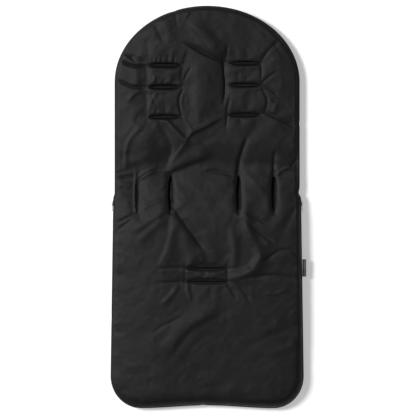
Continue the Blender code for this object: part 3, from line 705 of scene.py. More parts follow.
# Folds, one by one: height in millimetres, width in millimetres on the left and on the right of its way, and
# the pixels it runs through
FOLDS = (
    # Head, left edge and top
    (-3.6, 2.8, 2.8, ((116, 52), (125, 53.5), (131, 57.5), (138, 64))),
    (-1.8, 3.0, 3.5, ((129, 53), (137, 58), (143, 61.5), (148, 65))),
    (-4.4, 3.0, 3.6, ((116, 55), (125, 62.5), (132, 65.5), (140, 66.3), (153, 65.5))),
    (-4.0, 3.0, 3.6, ((112, 78.5), (126, 84), (134, 87), (153, 87.5))),
    (-1.0, 2.5, 2.5, ((127, 76), (137, 83.5), (145, 87))),
    (1.6, 14.0, 9.0, ((136, 90), (136, 76), (135, 64))),
    (-1.6, 10.0, 4.0, ((147, 90), (147.3, 76), (147, 63))),
    (-2.6, 20.0, 5.0, ((147, 126), (147, 104), (147, 84))),
    (1.5, 12.0, 60.0, ((156, 126), (154, 90), (154, 60), (158, 24))),
    (1.6, 6.0, 6.0, ((128, 104), (132, 96), (143, 88))),
    (-1.5, 6.0, 9.0, ((164, 44), (158, 31), (153, 19))),
    (1.5, 9.0, 14.0, ((169, 46), (168, 31), (162, 16))),
    (-1.0, 4.0, 4.0, ((178, 28), (176, 18), (175, 8))),
    (0.8, 3.5, 3.5, ((183, 22), (187, 15), (192, 8))),
    (-1.0, 9.0, 5.0, ((149, 60), (148, 48), (147, 36))),
    # Head, gathers over the top left slot and between the left slots
    (-1.2, 2.5, 2.5, ((162.5, 68), (162, 60), (161, 54))),
    (-1.2, 2.5, 2.5, ((168, 68), (168.5, 60), (168, 53))),
    (-1.2, 2.5, 2.5, ((174, 68), (174.5, 60), (174, 54))),
    (0.9, 3.0, 3.0, ((150, 86), (154, 80), (155, 74))),
    (1.0, 3.5, 5.0, ((147, 115), (151, 102), (158, 90))),
    (-0.9, 3.0, 3.0, ((156, 106), (153, 99), (150, 92))),
    (-1.3, 2.2, 2.2, ((152.5, 67), (153, 62), (152, 57))),
    (-1.5, 2.2, 2.2, ((157, 67), (157, 61), (158, 57))),
    (-1.0, 2.2, 2.2, ((158, 90), (157, 84), (158, 79))),
    (-1.2, 2.2, 2.2, ((163, 90), (163.5, 84), (163, 80))),
    (-1.1, 2.4, 2.4, ((171, 90), (172, 84), (174, 79))),
    (-1.2, 2.4, 2.4, ((155, 119), (156, 113), (157, 108))),
    (-1.2, 2.4, 2.4, ((165, 119), (165, 113), (164, 108))),
    # Head, between the slot columns
    (5.0, 26.0, 10.0, ((185, 15), (202, 36), (213, 50), (225, 66))),
    (-4.6, 6.0, 3.0, ((180, 40), (203, 52.5), (213, 58), (236, 68))),
    (-1.2, 3.5, 12.0, ((184, 88), (181, 76), (184, 62), (189, 44))),
    (-1.8, 2.6, 6.0, ((184, 126), (180.5, 110), (180, 98), (185, 84))),
    (1.2, 3.5, 3.5, ((184, 116), (181.5, 104), (183, 90))),
    (2.4, 15.0, 34.0, ((199, 134), (198, 90), (198, 48))),
    (-1.6, 2.5, 2.5, ((184, 82), (187, 74), (192, 65))),
    (-1.3, 2.5, 2.5, ((184, 122), (179.5, 108), (179, 98), (184, 86))),
    (-1.5, 18.0, 4.0, ((223, 106), (225, 92), (225, 82), (224.3, 72), (222.5, 56))),
    (-4.0, 3.0, 6.5, ((222, 108), (225, 92), (225, 82), (224.3, 72), (222.5, 50))),
    (-2.0, 3.0, 3.5, ((226, 131), (227, 118), (228, 106), (231, 92))),
    (-1.6, 3.0, 3.0, ((225.5, 63), (227, 52), (228, 43))),
    # Head, right of the right slots
    (-2.2, 5.0, 3.5, ((260, 63), (269, 50.5), (283, 38))),
    (-1.8, 3.0, 3.5, ((261.5, 82), (261.5, 70), (260.5, 58))),
    (-1.6, 3.0, 3.0, ((259, 86), (267, 78.5), (279, 70))),
    (-2.2, 3.5, 3.5, ((259, 83), (269, 88.5), (280, 96))),
    (-1.9, 3.0, 4.5, ((263.5, 116), (267, 105), (266.5, 97), (260, 86))),
    (-2.6, 5.0, 3.5, ((259, 110), (272, 115.5), (281, 120), (299, 128.5))),
    (1.2, 6.0, 8.0, ((272, 115), (277, 102))),
    (1.0, 10.0, 12.0, ((266, 68), (282, 54))),
    # Between the slot rows
    (1.8, 4.0, 7.0, ((126, 176), (125.5, 152), (129, 140), (137, 130), (147, 118))),
    (2.6, 28.0, 22.0, ((148, 184), (147, 158), (146, 140), (150, 116))),
    (-2.8, 16.0, 6.0, ((168, 190), (168, 162), (172, 149), (167.5, 134), (161, 112))),
    (3.6, 6.0, 11.0, ((158, 112), (177, 132), (192, 147))),
    (1.5, 5.0, 9.0, ((166, 170), (177, 154), (189, 139))),
    (1.3, 12.0, 4.5, ((183, 148), (191, 134.5), (203, 128.5), (224, 117))),
    (2.2, 4.0, 4.0, ((183, 146), (191, 133), (203, 127), (224, 115.5))),
    (1.2, 4.0, 3.5, ((193, 135), (188.5, 124), (180, 117))),
    (0.9, 9.0, 16.0, ((189, 133), (200, 147), (214, 164))),
    (4.2, 20.0, 7.0, ((158, 175), (178, 166.5), (192, 160.5), (215, 153))),
    (-2.0, 2.5, 3.2, ((112, 178.5), (124, 176.5), (139, 175))),
    (1.2, 3.0, 3.0, ((134, 180), (144, 173), (154, 168))),
    (0.9, 2.5, 2.5, ((137, 182), (147, 175), (157, 171))),
    (-1.1, 3.5, 3.5, ((147, 176), (158, 174.5), (171, 173))),
    (-1.8, 4.0, 4.5, ((200, 174.5), (212, 171), (222, 172.5), (238, 176.5))),
    (-0.8, 3.0, 3.0, ((240, 176), (262, 175), (298, 178))),
    (-4.2, 4.5, 8.0, ((237.5, 186), (239, 163), (243, 149), (248.5, 133))),
    (-3.0, 4.0, 5.0, ((273.5, 180), (274, 164), (275, 148))),
    (1.0, 3.0, 3.0, ((276, 178), (281, 171), (290, 167))),
    (-1.2, 4.0, 4.0, ((290, 168), (299, 158))),
    # Beside the waist slots
    (-2.2, 4.0, 20.0, ((171, 215), (170, 192), (170, 170))),
    (-2.4, 4.0, 13.0, ((239, 216), (238.5, 192), (238.5, 168))),
    (-3.4, 24.0, 11.0, ((139, 226), (139, 192), (139, 160))),
    (-0.9, 3.5, 8.0, ((274, 214), (274, 192), (274, 170))),
    (1.1, 4.0, 5.0, ((140, 213), (150, 204), (168, 198))),
    (0.7, 3.5, 3.5, ((117, 186), (127, 184), (136, 183))),
    (0.7, 3.5, 3.5, ((117, 197), (126, 194), (136, 192))),
    # Under the waist slots, left
    (-2.0, 3.0, 3.5, ((139, 211), (129, 217), (115, 224))),
    (-1.6, 3.0, 3.5, ((136, 216), (126, 224), (114, 233))),
    (2.0, 9.0, 9.0, ((130, 234), (150, 220), (172, 206))),
    (1.4, 9.0, 12.0, ((132, 250), (150, 230), (170, 214))),
    (1.9, 6.0, 15.0, ((158, 272), (167, 250), (172.5, 230), (172.5, 204))),
    (-4.8, 11.0, 9.0, ((168, 198), (182, 219), (191, 231.5), (209, 256))),
    (2.2, 12.0, 20.0, ((193, 276), (188, 250), (180, 224))),
    # Under the waist slots, right
    (3.6, 14.0, 9.0, ((245, 180), (244.5, 214), (247.5, 230), (254, 243), (259.5, 254), (256, 265),
                      (246, 273), (222, 281))),
    (2.0, 14.0, 16.0, ((224, 281), (246, 275.5), (259, 266), (263, 252), (257, 234))),
    (-2.2, 5.0, 4.0, ((240, 210), (256, 218), (271, 226))),
    (-2.0, 5.0, 4.5, ((242, 218), (258, 231), (277, 245))),
    (2.6, 9.0, 15.0, ((232, 280), (234.5, 256), (233, 240), (232, 222))),
    (-1.2, 3.5, 4.5, ((250, 267), (266, 260), (278, 251), (287, 249.5), (296, 254), (306, 276))),
    (-1.8, 4.5, 4.5, ((232, 281), (250, 277.5), (270, 275.5), (285, 276.5), (306, 282))),
    (0.9, 3.5, 3.5, ((262, 292), (275, 294), (288, 288))),
    # Round the crotch slots
    (-1.2, 3.5, 3.5, ((155, 268.5), (172, 268), (190, 267.5))),
    (-1.4, 3.5, 3.5, ((153, 283), (172, 282.5), (190, 281.5))),
    (-1.2, 3.5, 3.0, ((225, 269), (242, 267))),
    (-1.0, 3.5, 3.0, ((185.3, 292), (185.3, 275), (185.3, 258))),
    (-1.6, 3.5, 3.0, ((227.6, 291), (227.6, 275), (227.6, 258))),
    (-2.0, 16.0, 5.0, ((188, 267.5), (208, 267.5), (228, 267.5))),
    (1.6, 6.0, 8.0, ((160, 307), (172, 294), (180, 282))),
    (1.3, 4.0, 6.0, ((192, 302), (188, 292), (186, 281))),
    (-1.8, 3.5, 4.0, ((226, 280), (232, 290), (238, 301))),
    (-1.8, 4.0, 3.5, ((228, 278), (240, 287), (252, 303))),
    # Seat
    (2.8, 24.0, 11.0, ((165, 364), (176, 340), (189, 326), (204, 317), (226, 306))),
    (0.9, 12.0, 12.0, ((172, 366), (187, 345), (202, 324))),
    (-0.9, 6.0, 6.0, ((150, 335), (165, 325), (186, 315))),
    (-0.7, 10.0, 10.0, ((240, 350), (270, 336), (303, 325))),
    (0.6, 10.0, 10.0, ((262, 356), (282, 350), (304, 338))),
)


def fold_heights(points):
    """The height that the listed folds add: each is a bell across its line, of its own width on either
    side, rounder where it rises than where it sinks, and it fades to its two ends."""
    flat = points.reshape(-1, 2)
    added = np.zeros(len(flat))
    for height, left, right, pixels in FOLDS:
        line = spaced(finer(on_footmuff(pixels), FOLD_CURVE_STEPS), FOLD_STEPS)
        reach = FOLD_SIGHT * max(left, right) / MILLIMETRES
        near = ((flat > line.min(axis=0) - reach) & (flat < line.max(axis=0) + reach)).all(axis=1)
        away, along, side = beside(line, flat[near])
        share = along / length_along(line)[-1]
        fade = smooth(share / FOLD_FADE_SHARE) * smooth((1.0 - share) / FOLD_FADE_SHARE)
        power = SWELL_POWER if height > 0.0 else CREASE_POWER
        bell = np.exp(-((MILLIMETRES * away / np.where(side > 0.0, left, right)) ** power))
        added[near] += height / MILLIMETRES * fade * bell
    return added.reshape(points.shape[:-1])


def gather_heights(points):
    """Waves of random height along the seam of the edge, each highest at its own place inside it."""
    away, along, _ = beside(back_rim, points)
    added = np.zeros(points.shape[:-1])
    for spacing, height, place in GATHERS:
        wave = finer(chance.normal(size=int(along.max() / spacing) + 2), GATHER_STEPS)
        share = away / place
        waved = height * np.interp(along / along.max(), np.linspace(0, 1, GATHER_STEPS), wave)
        added += waved * share * np.exp(1 - share)
    added *= 1.0 - (1.0 - GATHERS_LEFT_AT_HEAD) * smooth((points[..., 1] - Y_FOLD) / GATHERS_RUN)
    return added - SEAM_GROOVE * np.exp(-(((away - SEAM_INSET) / SEAM_GROOVE_REACH) ** 2))


def lump_heights(rows, columns):
    """Smooth random heights over the grid, on coarser grids of each spacing."""
    added = np.zeros((rows, columns))
    for spacing, height in LUMPS:
        coarse = chance.normal(size=(int((Y_HEAD - Y_FOOT) / spacing) + 2, int(2 * FOOT_HALF / spacing) + 2))
        added += height * between(coarse, rows, columns)
    return added


fine_plan = back_plan(SHELL_ROWS, SHELL_COLUMNS)
free = smooth(nearest_slot(fine_plan) / SEAM_REACH)
loose = between(loft, SHELL_ROWS, SHELL_COLUMNS) * free[..., None]
inland = smooth(distance_to(back_rim, fine_plan) / (3 * SEAM_REACH)) * free
folded = lump_heights(SHELL_ROWS, SHELL_COLUMNS) + fold_heights(fine_plan)
height = sewn_top(fine_plan) + loose[..., 2] + folded * inland + gather_heights(fine_plan) * free

# Wadding of the back
# A polyester batt between lining and shell, thick in the open fields and pressed thin at the seams.
WADDING_ROWS, WADDING_COLUMNS = 220, 104
WADDING_CLEARANCE = 0.0010
WADDING_DROP = 0.0050
WADDING_LEAST = 0.0006
WADDING_BACK = 0.0015
PRESSED_FROM = 0.001
PRESSED_REACH = 0.014
wadding_grid = back_plan(WADDING_ROWS, WADDING_COLUMNS, LAYER_INSET + WADDING_CLEARANCE)
wadding_top = between(height, WADDING_ROWS, WADDING_COLUMNS).ravel() - WADDING_DROP
pressed = smooth((nearest_slot(wadding_grid) - PRESSED_FROM) / PRESSED_REACH).ravel()
wadding_faces = grid_faces(WADDING_ROWS, WADDING_COLUMNS)
wadding_plan, wadding_faces = open_slots(wadding_grid, wadding_faces, WADDING_BACK)
wadding_low = underside(wadding_plan) + LINING_THICKNESS + WADDING_CLEARANCE / 2
wadding_high = wadding_low + WADDING_LEAST + np.maximum(wadding_top - wadding_low, 0.0) * pressed
back_wadding = slab("back_wadding", with_height(wadding_plan, wadding_high),
                    with_height(wadding_plan, wadding_low), wadding_faces)
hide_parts("head_wadding", "seat_wadding")
across_fold(back_wadding)
batt = pile_finish("white_batt", (0.72, 0.72, 0.70), 0.95, 0.15, 0.0008)[0]
back_wadding.data.materials.append(batt)

# Outer shell of the back
# Satin-faced black polyester in a close plain weave, one cloth from head to foot with twelve slits.
SHELL_THICKNESS = 0.0008
SHARP_CREASE = math.radians(40.0)
cut_plan, shell_faces = open_slots(fine_plan, grid_faces(SHELL_ROWS, SHELL_COLUMNS))
shell_top = with_height(cut_plan + loose[..., :2].reshape(-1, 2), height.ravel())
back_shell = slab("back_outer_shell", shell_top, shell_top - (0.0, 0.0, SHELL_THICKNESS), shell_faces)
back_shell.data.set_sharp_from_angle(angle=SHARP_CREASE)
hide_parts("head_outer_shell", "seat_outer_shell")
across_fold(back_shell)


def weave_group():
    """Plain weave on x and y: in every other square the warp rib stands up, and in the rest the weft rib;
    each rib's crest is painted lighter, a painted highlight. Long thin noise along each yarn gives its slubs."""
    tree, given, made = finish_group(
        "plain_weave", [("Colour", "Color", (0.02, 0.02, 0.02, 1.0)), ("Yarn", "Float", 0.0009),
                        ("Slubs", "Float", 0.3), ("Gloss", "Float", 0.42)])
    place = tree.nodes.new("ShaderNodeTexCoord").outputs["Object"]
    split = tree.nodes.new("ShaderNodeSeparateXYZ")
    tree.links.new(place, split.inputs[0])
    waves, cells = [], []
    for axis in ("X", "Y"):
        at = math_node(tree, "DIVIDE", split.outputs[axis], given.outputs["Yarn"])
        turn = math_node(tree, "MULTIPLY", at, math.pi)
        waves.append(math_node(tree, "ABSOLUTE", math_node(tree, "SINE", turn)))
        cells.append(math_node(tree, "FLOOR", at))
    parity = math_node(tree, "MODULO", math_node(tree, "ABSOLUTE", math_node(tree, "ADD", *cells)), 2.0)
    rest = math_node(tree, "SUBTRACT", 1.0, parity)
    over = math_node(tree, "ADD", math_node(tree, "MULTIPLY", waves[0], parity),
                     math_node(tree, "MULTIPLY", waves[1], rest))
    warp = noise_node(tree, place, 320.0, 2.0, (1.0, 0.03, 1.0))
    weft = noise_node(tree, place, 320.0, 2.0, (0.03, 1.0, 1.0))
    slub = math_node(tree, "SUBTRACT", math_node(tree, "ADD", warp, weft), 1.0)
    cloud = math_node(tree, "SUBTRACT", noise_node(tree, place, 14.0, 3.0), 0.5)
    uneven = math_node(tree, "MULTIPLY", math_node(tree, "ADD", slub, cloud), given.outputs["Slubs"])
    # Painted highlight: the colour is made lighter where a rib stands up, as light would make it.
    lighter = math_node(tree, "MULTIPLY", over, 0.2)
    factor = math_node(tree, "ADD", math_node(tree, "ADD", uneven, 0.85), lighter)
    height = math_node(tree, "ADD", over, math_node(tree, "MULTIPLY", slub, 1.5))
    rough = math_node(tree, "ADD", given.outputs["Gloss"], math_node(tree, "MULTIPLY", uneven, 0.25))
    give(tree, made, tinted(tree, given.outputs["Colour"], factor), height, rough)
    return tree


plain_weave = weave_group()


SHELL_BLACK = (0.0085, 0.0085, 0.0087)
SHELL_GLOSS = 0.46
shell_cloth, tree, shader = principled("black_shell_cloth", SHELL_BLACK, SHELL_GLOSS)
shader.inputs["Specular IOR Level"].default_value = 0.16
finish_with(tree, shader, plain_weave, {"Colour": (*SHELL_BLACK, 1.0), "Yarn": 0.0006, "Slubs": 0.30,
                                        "Gloss": SHELL_GLOSS}, 0.00008)
back_shell.data.materials.append(shell_cloth)

# Lips of the slots
# Each slit is faced with two rolled lips of the shell cloth that close over it, so that no gap shows until a
# belt is pushed through. At the waist's slits, but for the shut one, the lips lie deep.
LIP_STATIONS = 49
LIP_SECTION = 40
LIP_LEAST = 0.0004
LIP_DEPTH_SHARE = 0.55
SLIT_HALF = 0.00015
SLIT_LEAN = 0.0008
# Half sections from the shell's edge to the slit: share of the half width from the edge, and depth in metres
SHALLOW_LIP = ((0.0, 0.0012), (0.10, 0.0042), (0.28, 0.0048), (0.42, 0.0012), (0.65, 0.0004), (0.93, 0.0008),
               (1.0, 0.0020))
DEEP_LIP = ((0.0, 0.0010), (0.06, 0.0040), (0.18, 0.0065), (0.40, 0.0075), (0.70, 0.0078), (0.92, 0.0082),
            (1.0, 0.0090))
SHUT_LIP = ((0.0, 0.0009), (0.12, 0.0018), (0.30, 0.0018), (0.50, 0.0004), (0.75, 0.0004), (0.92, 0.0022),
            (1.0, 0.0045))
FLUSH_LIP = ((0.0, 0.0009), (0.15, 0.0006), (0.40, 0.0004), (0.62, 0.0008), (0.80, 0.0020), (0.92, 0.0032),
             (1.0, 0.0045))
LIP_TUCK = 0.0010
LIP_TUCK_DROP = 0.0002
LIP_UNDER_SHARE = 0.3
LIPS = {"shoulder": SHALLOW_LIP, SHUT_SLOT: SHUT_LIP, "waist": DEEP_LIP, "crotch": FLUSH_LIP}


def lip_points(slot, profile, side):
    """One lip as rings across the slit: over the top from the shell's edge to the slit, and back underneath
    at the lining. The rings narrow with the slit towards its ends."""
    along = -slot["half_length"] * np.cos(np.linspace(0.0, math.pi, LIP_STATIONS))
    half = np.maximum(hole_half_width(slot, along), LIP_LEAST)
    ends = np.sqrt(half / slot["half_width"])
    over = finer(np.array(profile), LIP_SECTION // 2)
    deep = over[:, 1][None] * ends[:, None]
    middle = slot["middle"] + (plan(0.0, along) if slot["upright"] else plan(along, 0.0))
    rim = sewn_top(middle)[:, None]
    floor = underside(middle)[:, None]
    thick = rim - floor
    deep = np.minimum(deep, LIP_DEPTH_SHARE * thick)
    top = rim - deep
    under = floor + LIP_UNDER_SHARE * np.minimum(deep[:, ::-1], thick / 2)
    share = np.concatenate([over[:, 0], over[::-1, 0]])
    across = side * (SLIT_HALF + (half[:, None] - SLIT_HALF) * (1.0 - share[None]))
    tuck = np.zeros(len(share))
    tuck[[0, -1]] = LIP_TUCK
    across = across + side * tuck
    height = np.concatenate([top, under], axis=1)
    height[:, 0] -= LIP_TUCK_DROP
    across = across + SLIT_LEAN * ((height - floor) / thick - 0.5) * share[None]
    x, y = (across, along[:, None] + 0 * across) if slot["upright"] else (along[:, None] + 0 * across, across)
    return np.stack([x + slot["middle"][0], y + slot["middle"][1], height], axis=-1)


def ring_faces(stations, corners):
    """Faces of rings joined in a row, with a cap at each end."""
    caps = np.arange(corners)
    return [grid_faces(stations, corners, round_columns=True), caps[None, ::-1],
            caps[None] + (stations - 1) * corners]


def repeated_rings(count, stations, corners):
    """The faces of so many such pieces, one after another."""
    first = (np.arange(count) * stations * corners)[:, None, None]
    return [(group[None] + first).reshape(-1, group.shape[1]) for group in ring_faces(stations, corners)]


def turned_out(piece):
    """Makes a closed piece's faces point outwards."""
    shape = bmesh.new()
    shape.from_mesh(piece.data)
    bmesh.ops.recalc_face_normals(shape, faces=shape.faces)
    shape.to_mesh(piece.data)
    shape.free()
    return piece


for name, slot in slots.items():
    rings = [lip_points(slot, settings_of(name, LIPS), side) for side in (-1.0, 1.0)]
    faces = ring_faces(LIP_STATIONS, rings[0].shape[1])
    count = rings[0].shape[0] * rings[0].shape[1]
    both = faces + [group + count for group in faces]
    lips = turned_out(lay_mesh(f"{name}_lips", np.concatenate([ring.reshape(-1, 3) for ring in rings]), both))
    lips.data.materials.append(shell_cloth)
    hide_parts(f"{name}_binding")
    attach(lips, slot["body"])

# Edge binding of the back
# A narrow folded tape, sewn over the edges of lining, wadding and shell all the way round.
BINDING_WIDTH = 0.0030
BINDING_STEPS = 1200
BINDING_SHARES = ((0.0, 0.5), (0.06, 0.82), (0.3, 0.98), (0.65, 1.0), (1.0, 0.93), (1.0, 0.5), (1.0, 0.07),
                  (0.65, 0.0), (0.3, 0.02), (0.06, 0.18))


def outline_loop(inset):
    return np.concatenate([side_line(1.0, inset), side_line(-1.0, inset)[-2:0:-1]])


def loop_at(inset, count):
    """Points of the outline moved in by inset, at even steps of the length of the outline itself."""
    run = length_along(np.concatenate([outline_loop(0.0), outline_loop(0.0)[:1]]))
    line = np.concatenate([outline_loop(inset), outline_loop(inset)[:1]])
    return at_lengths(line, run, np.arange(count) * run[-1] / count)


def edge_tape(name, outer, inner, low, high, ring):
    """A tape round an edge: each corner of its section lies so far from the outer to the inner line, and so
    far from the low to the high line. Its uv runs in metres along it, and from 0 to 1 round its section."""
    shares = np.array(BINDING_SHARES)
    plan_points = outer[:, None] + (inner - outer)[:, None] * shares[None, :, :1]
    height = low[:, None] + (high - low)[:, None] * shares[None, :, 1]
    points = with_height(plan_points, height)
    steps, corners = points.shape[:2]
    run = length_along(outer)[:, None] + np.zeros(corners)
    uv = plan(run, np.linspace(0.0, 1.0, corners)[None] + 0 * run)
    faces = grid_faces(steps, corners, ring, True) if ring else ring_faces(steps, corners)
    return turned_out(lay_mesh(name, points, faces, uv))


binding_outer = loop_at(0.0, BINDING_STEPS)
binding_inner = loop_at(BINDING_WIDTH, BINDING_STEPS)
edge_y = binding_outer[:, 1]
back_binding = edge_tape(
    "back_edge_binding", binding_outer, binding_inner, edge_low(edge_y), edge_high(edge_y), True
)
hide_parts("head_edge_binding", "seat_edge_binding")
across_fold(back_binding)


def rib_group():
    """Woven tape: ribs across its length, from the uv that runs along it, each rib's crest painted lighter
    and its groove darker as painted highlight and painted shade, and noise that shifts their tone."""
    tree, given, made = finish_group(
        "ribbed_tape",
        [("Colour", "Color", (0.02, 0.02, 0.02, 1.0)), ("Rib", "Float", 0.0008), ("Gloss", "Float", 0.6)])
    tape = tree.nodes.new("ShaderNodeUVMap")
    tape.uv_map = "along"
    split = tree.nodes.new("ShaderNodeSeparateXYZ")
    tree.links.new(tape.outputs[0], split.inputs[0])
    at = math_node(tree, "DIVIDE", split.outputs["X"], given.outputs["Rib"])
    rib = math_node(tree, "ABSOLUTE", math_node(tree, "SINE", math_node(tree, "MULTIPLY", at, math.pi)))
    place = tree.nodes.new("ShaderNodeTexCoord").outputs["Object"]
    patch_shade = math_node(tree, "SUBTRACT", noise_node(tree, place, 60.0, 3.0), 0.5)
    # Painted highlight and painted shade: each rib's crest is lighter and its groove darker; the noise is
    # random tone.
    factor = math_node(tree, "ADD", scaled(tree, rib, 0.35, 0.75), patch_shade)
    rough = math_node(tree, "ADD", given.outputs["Gloss"], math_node(tree, "MULTIPLY", patch_shade, 0.2))
    give(tree, made, tinted(tree, given.outputs["Colour"], factor), rib, rough)
    return tree


ribbed_tape = rib_group()


def tape_finish(name, colour, rib, gloss):
    material, tree, shader = principled(name, colour, gloss)
    finish_with(tree, shader, ribbed_tape, {"Colour": (*colour, 1.0), "Rib": rib, "Gloss": gloss}, 0.0002)
    return material


binding_cloth = tape_finish("black_binding_tape", (0.0055, 0.0055, 0.0057), 0.0009, 0.8)
back_binding.data.materials.append(binding_cloth)

# Stitches
# A line of thread holds the edge all the way round and another goes round each slot. Each stitch is a short
# round-ended thread that lies in the cloth.
STITCH_LENGTH = 0.0030
STITCH_PITCH = 0.0042
STITCH_RADIUS = 0.00035
SLOT_STITCH_AWAY = 0.0028
STITCH_SINK = 0.00005
STITCH_LIFT_SHARE = 0.6
STITCH_END_SHARE = 0.02
STITCH_RINGS = 5
THREAD_SIDES = 6
SLOT_LOOP_STEPS = 60
SURFACE_BLOCK = 200
LEAST_SQUARE = 1e-8


def surface_height(places):
    """The shell's height at the nearest points of its grid, weighted by one over the squared distance."""
    ground, tall = shell_top[:, :2], shell_top[:, 2]
    found = []
    for block in np.array_split(places, 1 + len(places) // SURFACE_BLOCK):
        away = ((block[:, None] - ground[None]) ** 2).sum(axis=2)
        near = np.argpartition(away, 4, axis=1)[:, :4]
        weight = 1.0 / (np.take_along_axis(away, near, axis=1) + LEAST_SQUARE)
        found.append((tall[near] * weight).sum(axis=1) / weight.sum(axis=1))
    return np.concatenate(found)


def stitch_row(name, line):
    """Threads along a closed line, each as five rings between two points of the cloth: the half ellipse from
    end to end gives the rings their radius and lifts the middle."""
    count = int(length_along(line)[-1] / STITCH_PITCH)
    run = length_along(line)
    at = (np.arange(count) + 0.5) * run[-1] / count
    ends = [at_lengths(line, run, at + half) for half in (-STITCH_LENGTH / 2, STITCH_LENGTH / 2)]
    first, last = (with_height(end, surface_height(end) - STITCH_SINK) for end in ends)
    share = np.linspace(0.0, 1.0, STITCH_RINGS)
    bulge = np.sqrt(np.clip(1.0 - (2 * share - 1) ** 2, STITCH_END_SHARE, 1.0))
    middle = first[:, None] + (last - first)[:, None] * share[None, :, None]
    step = unit((last - first)[:, :2])
    aside = with_height(plan(-step[:, 1], step[:, 0]), np.zeros(count))
    turn = around(THREAD_SIDES)
    ring = STITCH_RADIUS * bulge[None, :, None, None] * aside[:, None, None]
    ring = ring * np.cos(turn)[None, None, :, None]
    lift = STITCH_RADIUS * bulge[:, None] * (np.sin(turn)[None] + STITCH_LIFT_SHARE)
    points = middle[:, :, None] + ring + lift[None, :, :, None] * np.array((0.0, 0.0, 1.0))
    return turned_out(lay_mesh(name, points, repeated_rings(count, len(share), len(turn))))


def slot_loop(slot, away):
    """A loop round a slot at a distance: out along one side and back along the other."""
    along = -(slot["half_length"] + away) * np.cos(np.linspace(0.0, math.pi, SLOT_LOOP_STEPS))
    inside = np.clip(along, -slot["half_length"], slot["half_length"])
    past = np.abs(along - inside) / away
    across = hole_half_width(slot, inside) + away * np.sqrt(np.clip(1.0 - past**2, 0.0, 1.0))
    there, back = (plan(across, along), plan(-across, along)[::-1][1:])
    loop = np.concatenate([there, back])
    return slot["middle"] + (loop if slot["upright"] else loop[:, ::-1])


thread = pile_finish("black_thread", (0.010, 0.010, 0.010), 0.6, 0.3, 0.0001)[0]
edge_line = outline_loop(LAYER_INSET + SEAM_INSET)
edge_stitches = stitch_row("edge_stitches", np.concatenate([edge_line, edge_line[:1]]))
edge_stitches.data.materials.append(thread)
across_fold(edge_stitches)
for name, slot in slots.items():
    row = stitch_row(f"{name}_stitches", slot_loop(slot, SLOT_STITCH_AWAY))
    row.data.materials.append(thread)
    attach(row, slot["body"])

# Side label
# A bare woven ribbon, folded double and caught in the side seam.
label_low, label_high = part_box("side_label")
LABEL_PLY = 0.0008
LABEL_STEPS = 22
LABEL_FOLD_STEPS = 9
LABEL_FLAT_SHARE = 0.4
LABEL_WAVE = 0.0004
LABEL_WAVE_TURN = 5.0
LABEL_BORDER = 0.0016


def label_points():
    """The ribbon's section is a hairpin: out along the upper ply, round the fold and back along the lower
    one. It is carried along the seam, and the free end is a little wavy."""
    half = (label_high.z - label_low.z) / 2
    reach = label_high.x - label_low.x
    turn = np.linspace(math.pi / 2, -math.pi / 2, LABEL_FOLD_STEPS)
    outer = plan(reach - half + half * np.cos(turn), half * np.sin(turn))
    gap = half - LABEL_PLY
    inner = plan(reach - half + gap * np.cos(turn), gap * np.sin(turn))
    flat = reach * LABEL_FLAT_SHARE
    hairpin = np.concatenate([[(0.0, half), (flat, half)], outer, [(flat, -half), (0.0, -half)],
                              [(0.0, -gap), (flat, -gap)], inner[::-1], [(flat, gap), (0.0, gap)]])
    along = np.linspace(label_high.y, label_low.y, LABEL_STEPS)
    wave = LABEL_WAVE * np.sin(np.linspace(0.0, LABEL_WAVE_TURN, LABEL_STEPS))
    out = label_low.x + hairpin[None, :, 0] + 0 * along[:, None]
    up = (label_low.z + label_high.z) / 2 + hairpin[None, :, 1] + wave[:, None] * hairpin[None, :, 0] / reach
    points = np.stack([out, along[:, None] + 0 * out, up], axis=-1)
    uv = plan(hairpin[None, :, 0] + 0 * out, along[:, None] + 0 * out)
    return points, uv


points, uv = label_points()
label = turned_out(lay_mesh("side_label_ribbon", points, ring_faces(*points.shape[:2]), uv))
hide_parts("side_label")
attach(label, "seat_back")


def border_group():
    """Woven border: darker where a place lies further from the ribbon's middle than the half size of its
    field."""
    tree, given, made = new_group(
        "woven_border",
        [("Colour", "Color", (0.1, 0.1, 0.1, 1.0)), ("Middle", "Vector", (0.0, 0.0, 0.0)),
         ("Half", "Vector", (0.01, 0.01, 0.01)), ("Shade", "Float", 0.35)],
        [("Colour", "Color")],
    )
    away, least = tree.nodes.new("ShaderNodeVectorMath"), tree.nodes.new("ShaderNodeVectorMath")
    away.operation, least.operation = "SUBTRACT", "ABSOLUTE"
    tree.links.new(tree.nodes.new("ShaderNodeTexCoord").outputs["Object"], away.inputs[0])
    tree.links.new(given.outputs["Middle"], away.inputs[1])
    tree.links.new(away.outputs[0], least.inputs[0])
    place, half = tree.nodes.new("ShaderNodeSeparateXYZ"), tree.nodes.new("ShaderNodeSeparateXYZ")
    tree.links.new(least.outputs[0], place.inputs[0])
    tree.links.new(given.outputs["Half"], half.inputs[0])
    inside = math_node(tree, "MULTIPLY", *(
        math_node(tree, "LESS_THAN", place.outputs[axis], half.outputs[axis]) for axis in ("X", "Y")))
    lighter = math_node(tree, "MULTIPLY", inside, math_node(tree, "SUBTRACT", 1.0, given.outputs["Shade"]))
    factor = math_node(tree, "ADD", given.outputs["Shade"], lighter)
    tree.links.new(tinted(tree, given.outputs["Colour"], factor), made.inputs["Colour"])
    return tree


ribbon = tape_finish("grey_label_ribbon", (0.13, 0.13, 0.135), 0.0006, 0.7)
shader = ribbon.node_tree.nodes["Principled BSDF"]
border = ribbon.node_tree.nodes.new("ShaderNodeGroup")
border.node_tree = border_group()
border.inputs["Middle"].default_value = (label_low + label_high) / 2
border.inputs["Half"].default_value = (label_high - label_low) / 2 - Vector((LABEL_BORDER, LABEL_BORDER, 0.0))
ribbon.node_tree.links.new(shader.inputs["Base Color"].links[0].from_socket, border.inputs["Colour"])
ribbon.node_tree.links.new(border.outputs["Colour"], shader.inputs["Base Color"])
label.data.materials.append(ribbon)

